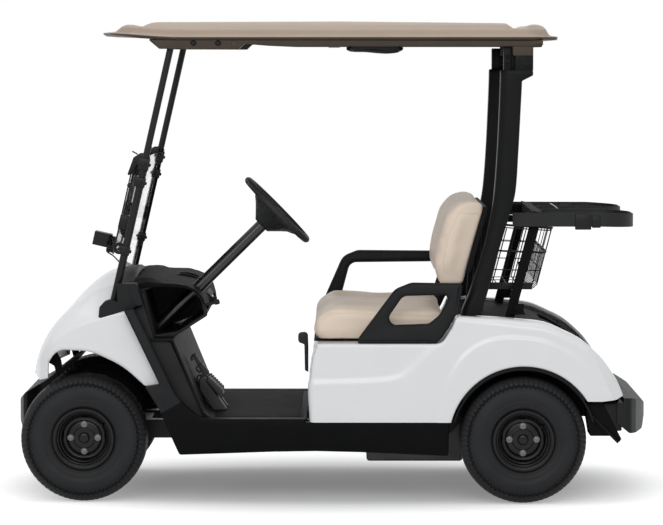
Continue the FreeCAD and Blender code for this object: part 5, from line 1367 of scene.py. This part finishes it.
def round_edges(node_name, width):
    """Joins the node's split faces and rounds its sharp edges."""
    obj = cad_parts[node_name]
    obj.modifiers.new("weld", "WELD").merge_threshold = 0.00002
    flat = obj.modifiers.new("flat", "DECIMATE")
    flat.decimate_type = "DISSOLVE"
    flat.angle_limit = math.radians(1.0)
    edges = obj.modifiers.new("bevel", "BEVEL")
    edges.width = width * MM
    edges.segments = 3
    edges.limit_method = "ANGLE"
    edges.angle_limit = math.radians(28)
    edges.harden_normals = False
    obj.modifiers.new("normals", "WEIGHTED_NORMAL").keep_sharp = False


for node_name, width in (("front_bumper", 8), ("rear_bumper", 8), ("strut_boots", 6), ("rear_deck", 4),
                         ("screen_fittings", 2), ("bag_rack", 3), ("backrest_frame", 3), ("floorboard", 2),
                         ("arch_liners", 2), ("engine_block", 12), ("chassis_frame", 3)):
    round_edges(node_name, width)


# camera, light and floor

PHOTO_WIDTH, FOCAL_PIXELS, SENSOR = 663.0, 3388.318, 36.0
EYE, YAW, PITCH = (-0.0512, 13.1, 1.65944), 0.0042707, 0.0605758
# name, power, width, depth, place, target
LAMPS = (("top", 60, 5.0, 3.0, (0.2, 0.3, 4.6), (0, 0, 0.6)),
         ("front", 138, 6.0, 2.2, (0.6, 6.5, 3.4), (0, 0, 0.7)),
         ("nose", 6, 2.0, 2.0, (4.6, 2.2, 2.4), (0.6, 0, 0.6)))
LIGHT_GREY = (0.58, 0.585, 0.59, 1)
FLOOR_OVAL = (1 / 1.25, 1 / 0.9, 0)


def any_ray(tree):
    """1 for camera, glossy and transmission rays, 0 for the rays that light the object."""
    path = add_node(tree, "ShaderNodeLightPath")
    total = path.outputs["Is Camera Ray"]
    for ray in ("Is Glossy Ray", "Is Transmission Ray"):
        total = add_node(tree, "ShaderNodeMath", {0: total, 1: path.outputs[ray]},
                         operation="MAXIMUM").outputs["Value"]
    return total


def make_camera():
    camera = bpy.data.cameras.new("camera")
    camera.sensor_width = SENSOR
    camera.lens = FOCAL_PIXELS * SENSOR / PHOTO_WIDTH
    camera.clip_end = 200.0
    eye = bpy.data.objects.new("camera", camera)
    scene.collection.objects.link(eye)
    ahead = Vector((math.sin(YAW) * math.cos(PITCH), -math.cos(YAW) * math.cos(PITCH), -math.sin(PITCH)))
    right = ahead.cross(Vector((0, 0, 1))).normalized()
    turn = Matrix((right, right.cross(ahead), -ahead)).transposed()
    eye.matrix_world = Matrix.Translation(EYE) @ turn.to_4x4()
    scene.camera = eye


def make_light():
    world = bpy.data.worlds.new("studio")
    scene.world = world
    world.use_nodes = True
    tree = world.node_tree
    pick = add_node(tree, "ShaderNodeMix", {"Factor": any_ray(tree), "A": LIGHT_GREY, "B": (1, 1, 1, 1)},
                    data_type="RGBA")
    tree.links.new(pick.outputs["Result"], tree.nodes["Background"].inputs["Color"])
    for name, power, width, depth, place, target in LAMPS:
        light = bpy.data.lights.new(name, "AREA")
        light.shape = "RECTANGLE"
        light.energy = power
        light.size, light.size_y = width, depth
        obj = bpy.data.objects.new(name, light)
        scene.collection.objects.link(obj)
        obj.location = place
        obj.rotation_euler = (Vector(target) - Vector(place)).to_track_quat("-Z", "Y").to_euler()


def make_floor():
    """A plain floor that turns white away from the cart for the rays that see it."""
    bm = bmesh.new()
    bmesh.ops.create_grid(bm, x_segments=8, y_segments=8, size=70.0)
    floor = link_mesh("floor", bm)
    floor.location.z = -0.0006
    mat = bpy.data.materials.new("pale_floor")
    mat.use_nodes = True
    tree = mat.node_tree
    tree.nodes.remove(tree.nodes["Principled BSDF"])
    flat = add_node(tree, "ShaderNodeBsdfDiffuse", {"Color": (0.75, 0.75, 0.75, 1)})
    where = add_node(tree, "ShaderNodeTexCoord").outputs["Object"]
    oval = add_node(tree, "ShaderNodeVectorMath", {0: where, 1: FLOOR_OVAL}, operation="MULTIPLY")
    far = add_node(tree, "ShaderNodeVectorMath", {0: oval.outputs["Vector"]}, operation="LENGTH")
    rise = add_node(tree, "ShaderNodeMapRange", {
        "Value": far.outputs["Value"], "From Min": 0.52, "From Max": 1.22, "To Min": 0.19, "To Max": 0.60},
        interpolation_type="SMOOTHSTEP")
    scaled = add_node(tree, "ShaderNodeMath", {0: any_ray(tree), 1: rise.outputs["Result"]},
                      operation="MULTIPLY")
    glow = add_node(tree, "ShaderNodeEmission", {"Strength": scaled.outputs[0]})
    add = add_node(tree, "ShaderNodeAddShader", {0: flat.outputs[0], 1: glow.outputs[0]})
    tree.links.new(add.outputs[0], tree.nodes["Material Output"].inputs["Surface"])
    floor.data.materials.append(mat)


make_camera()
make_light()
make_floor()
scene.view_settings.view_transform = "Standard"
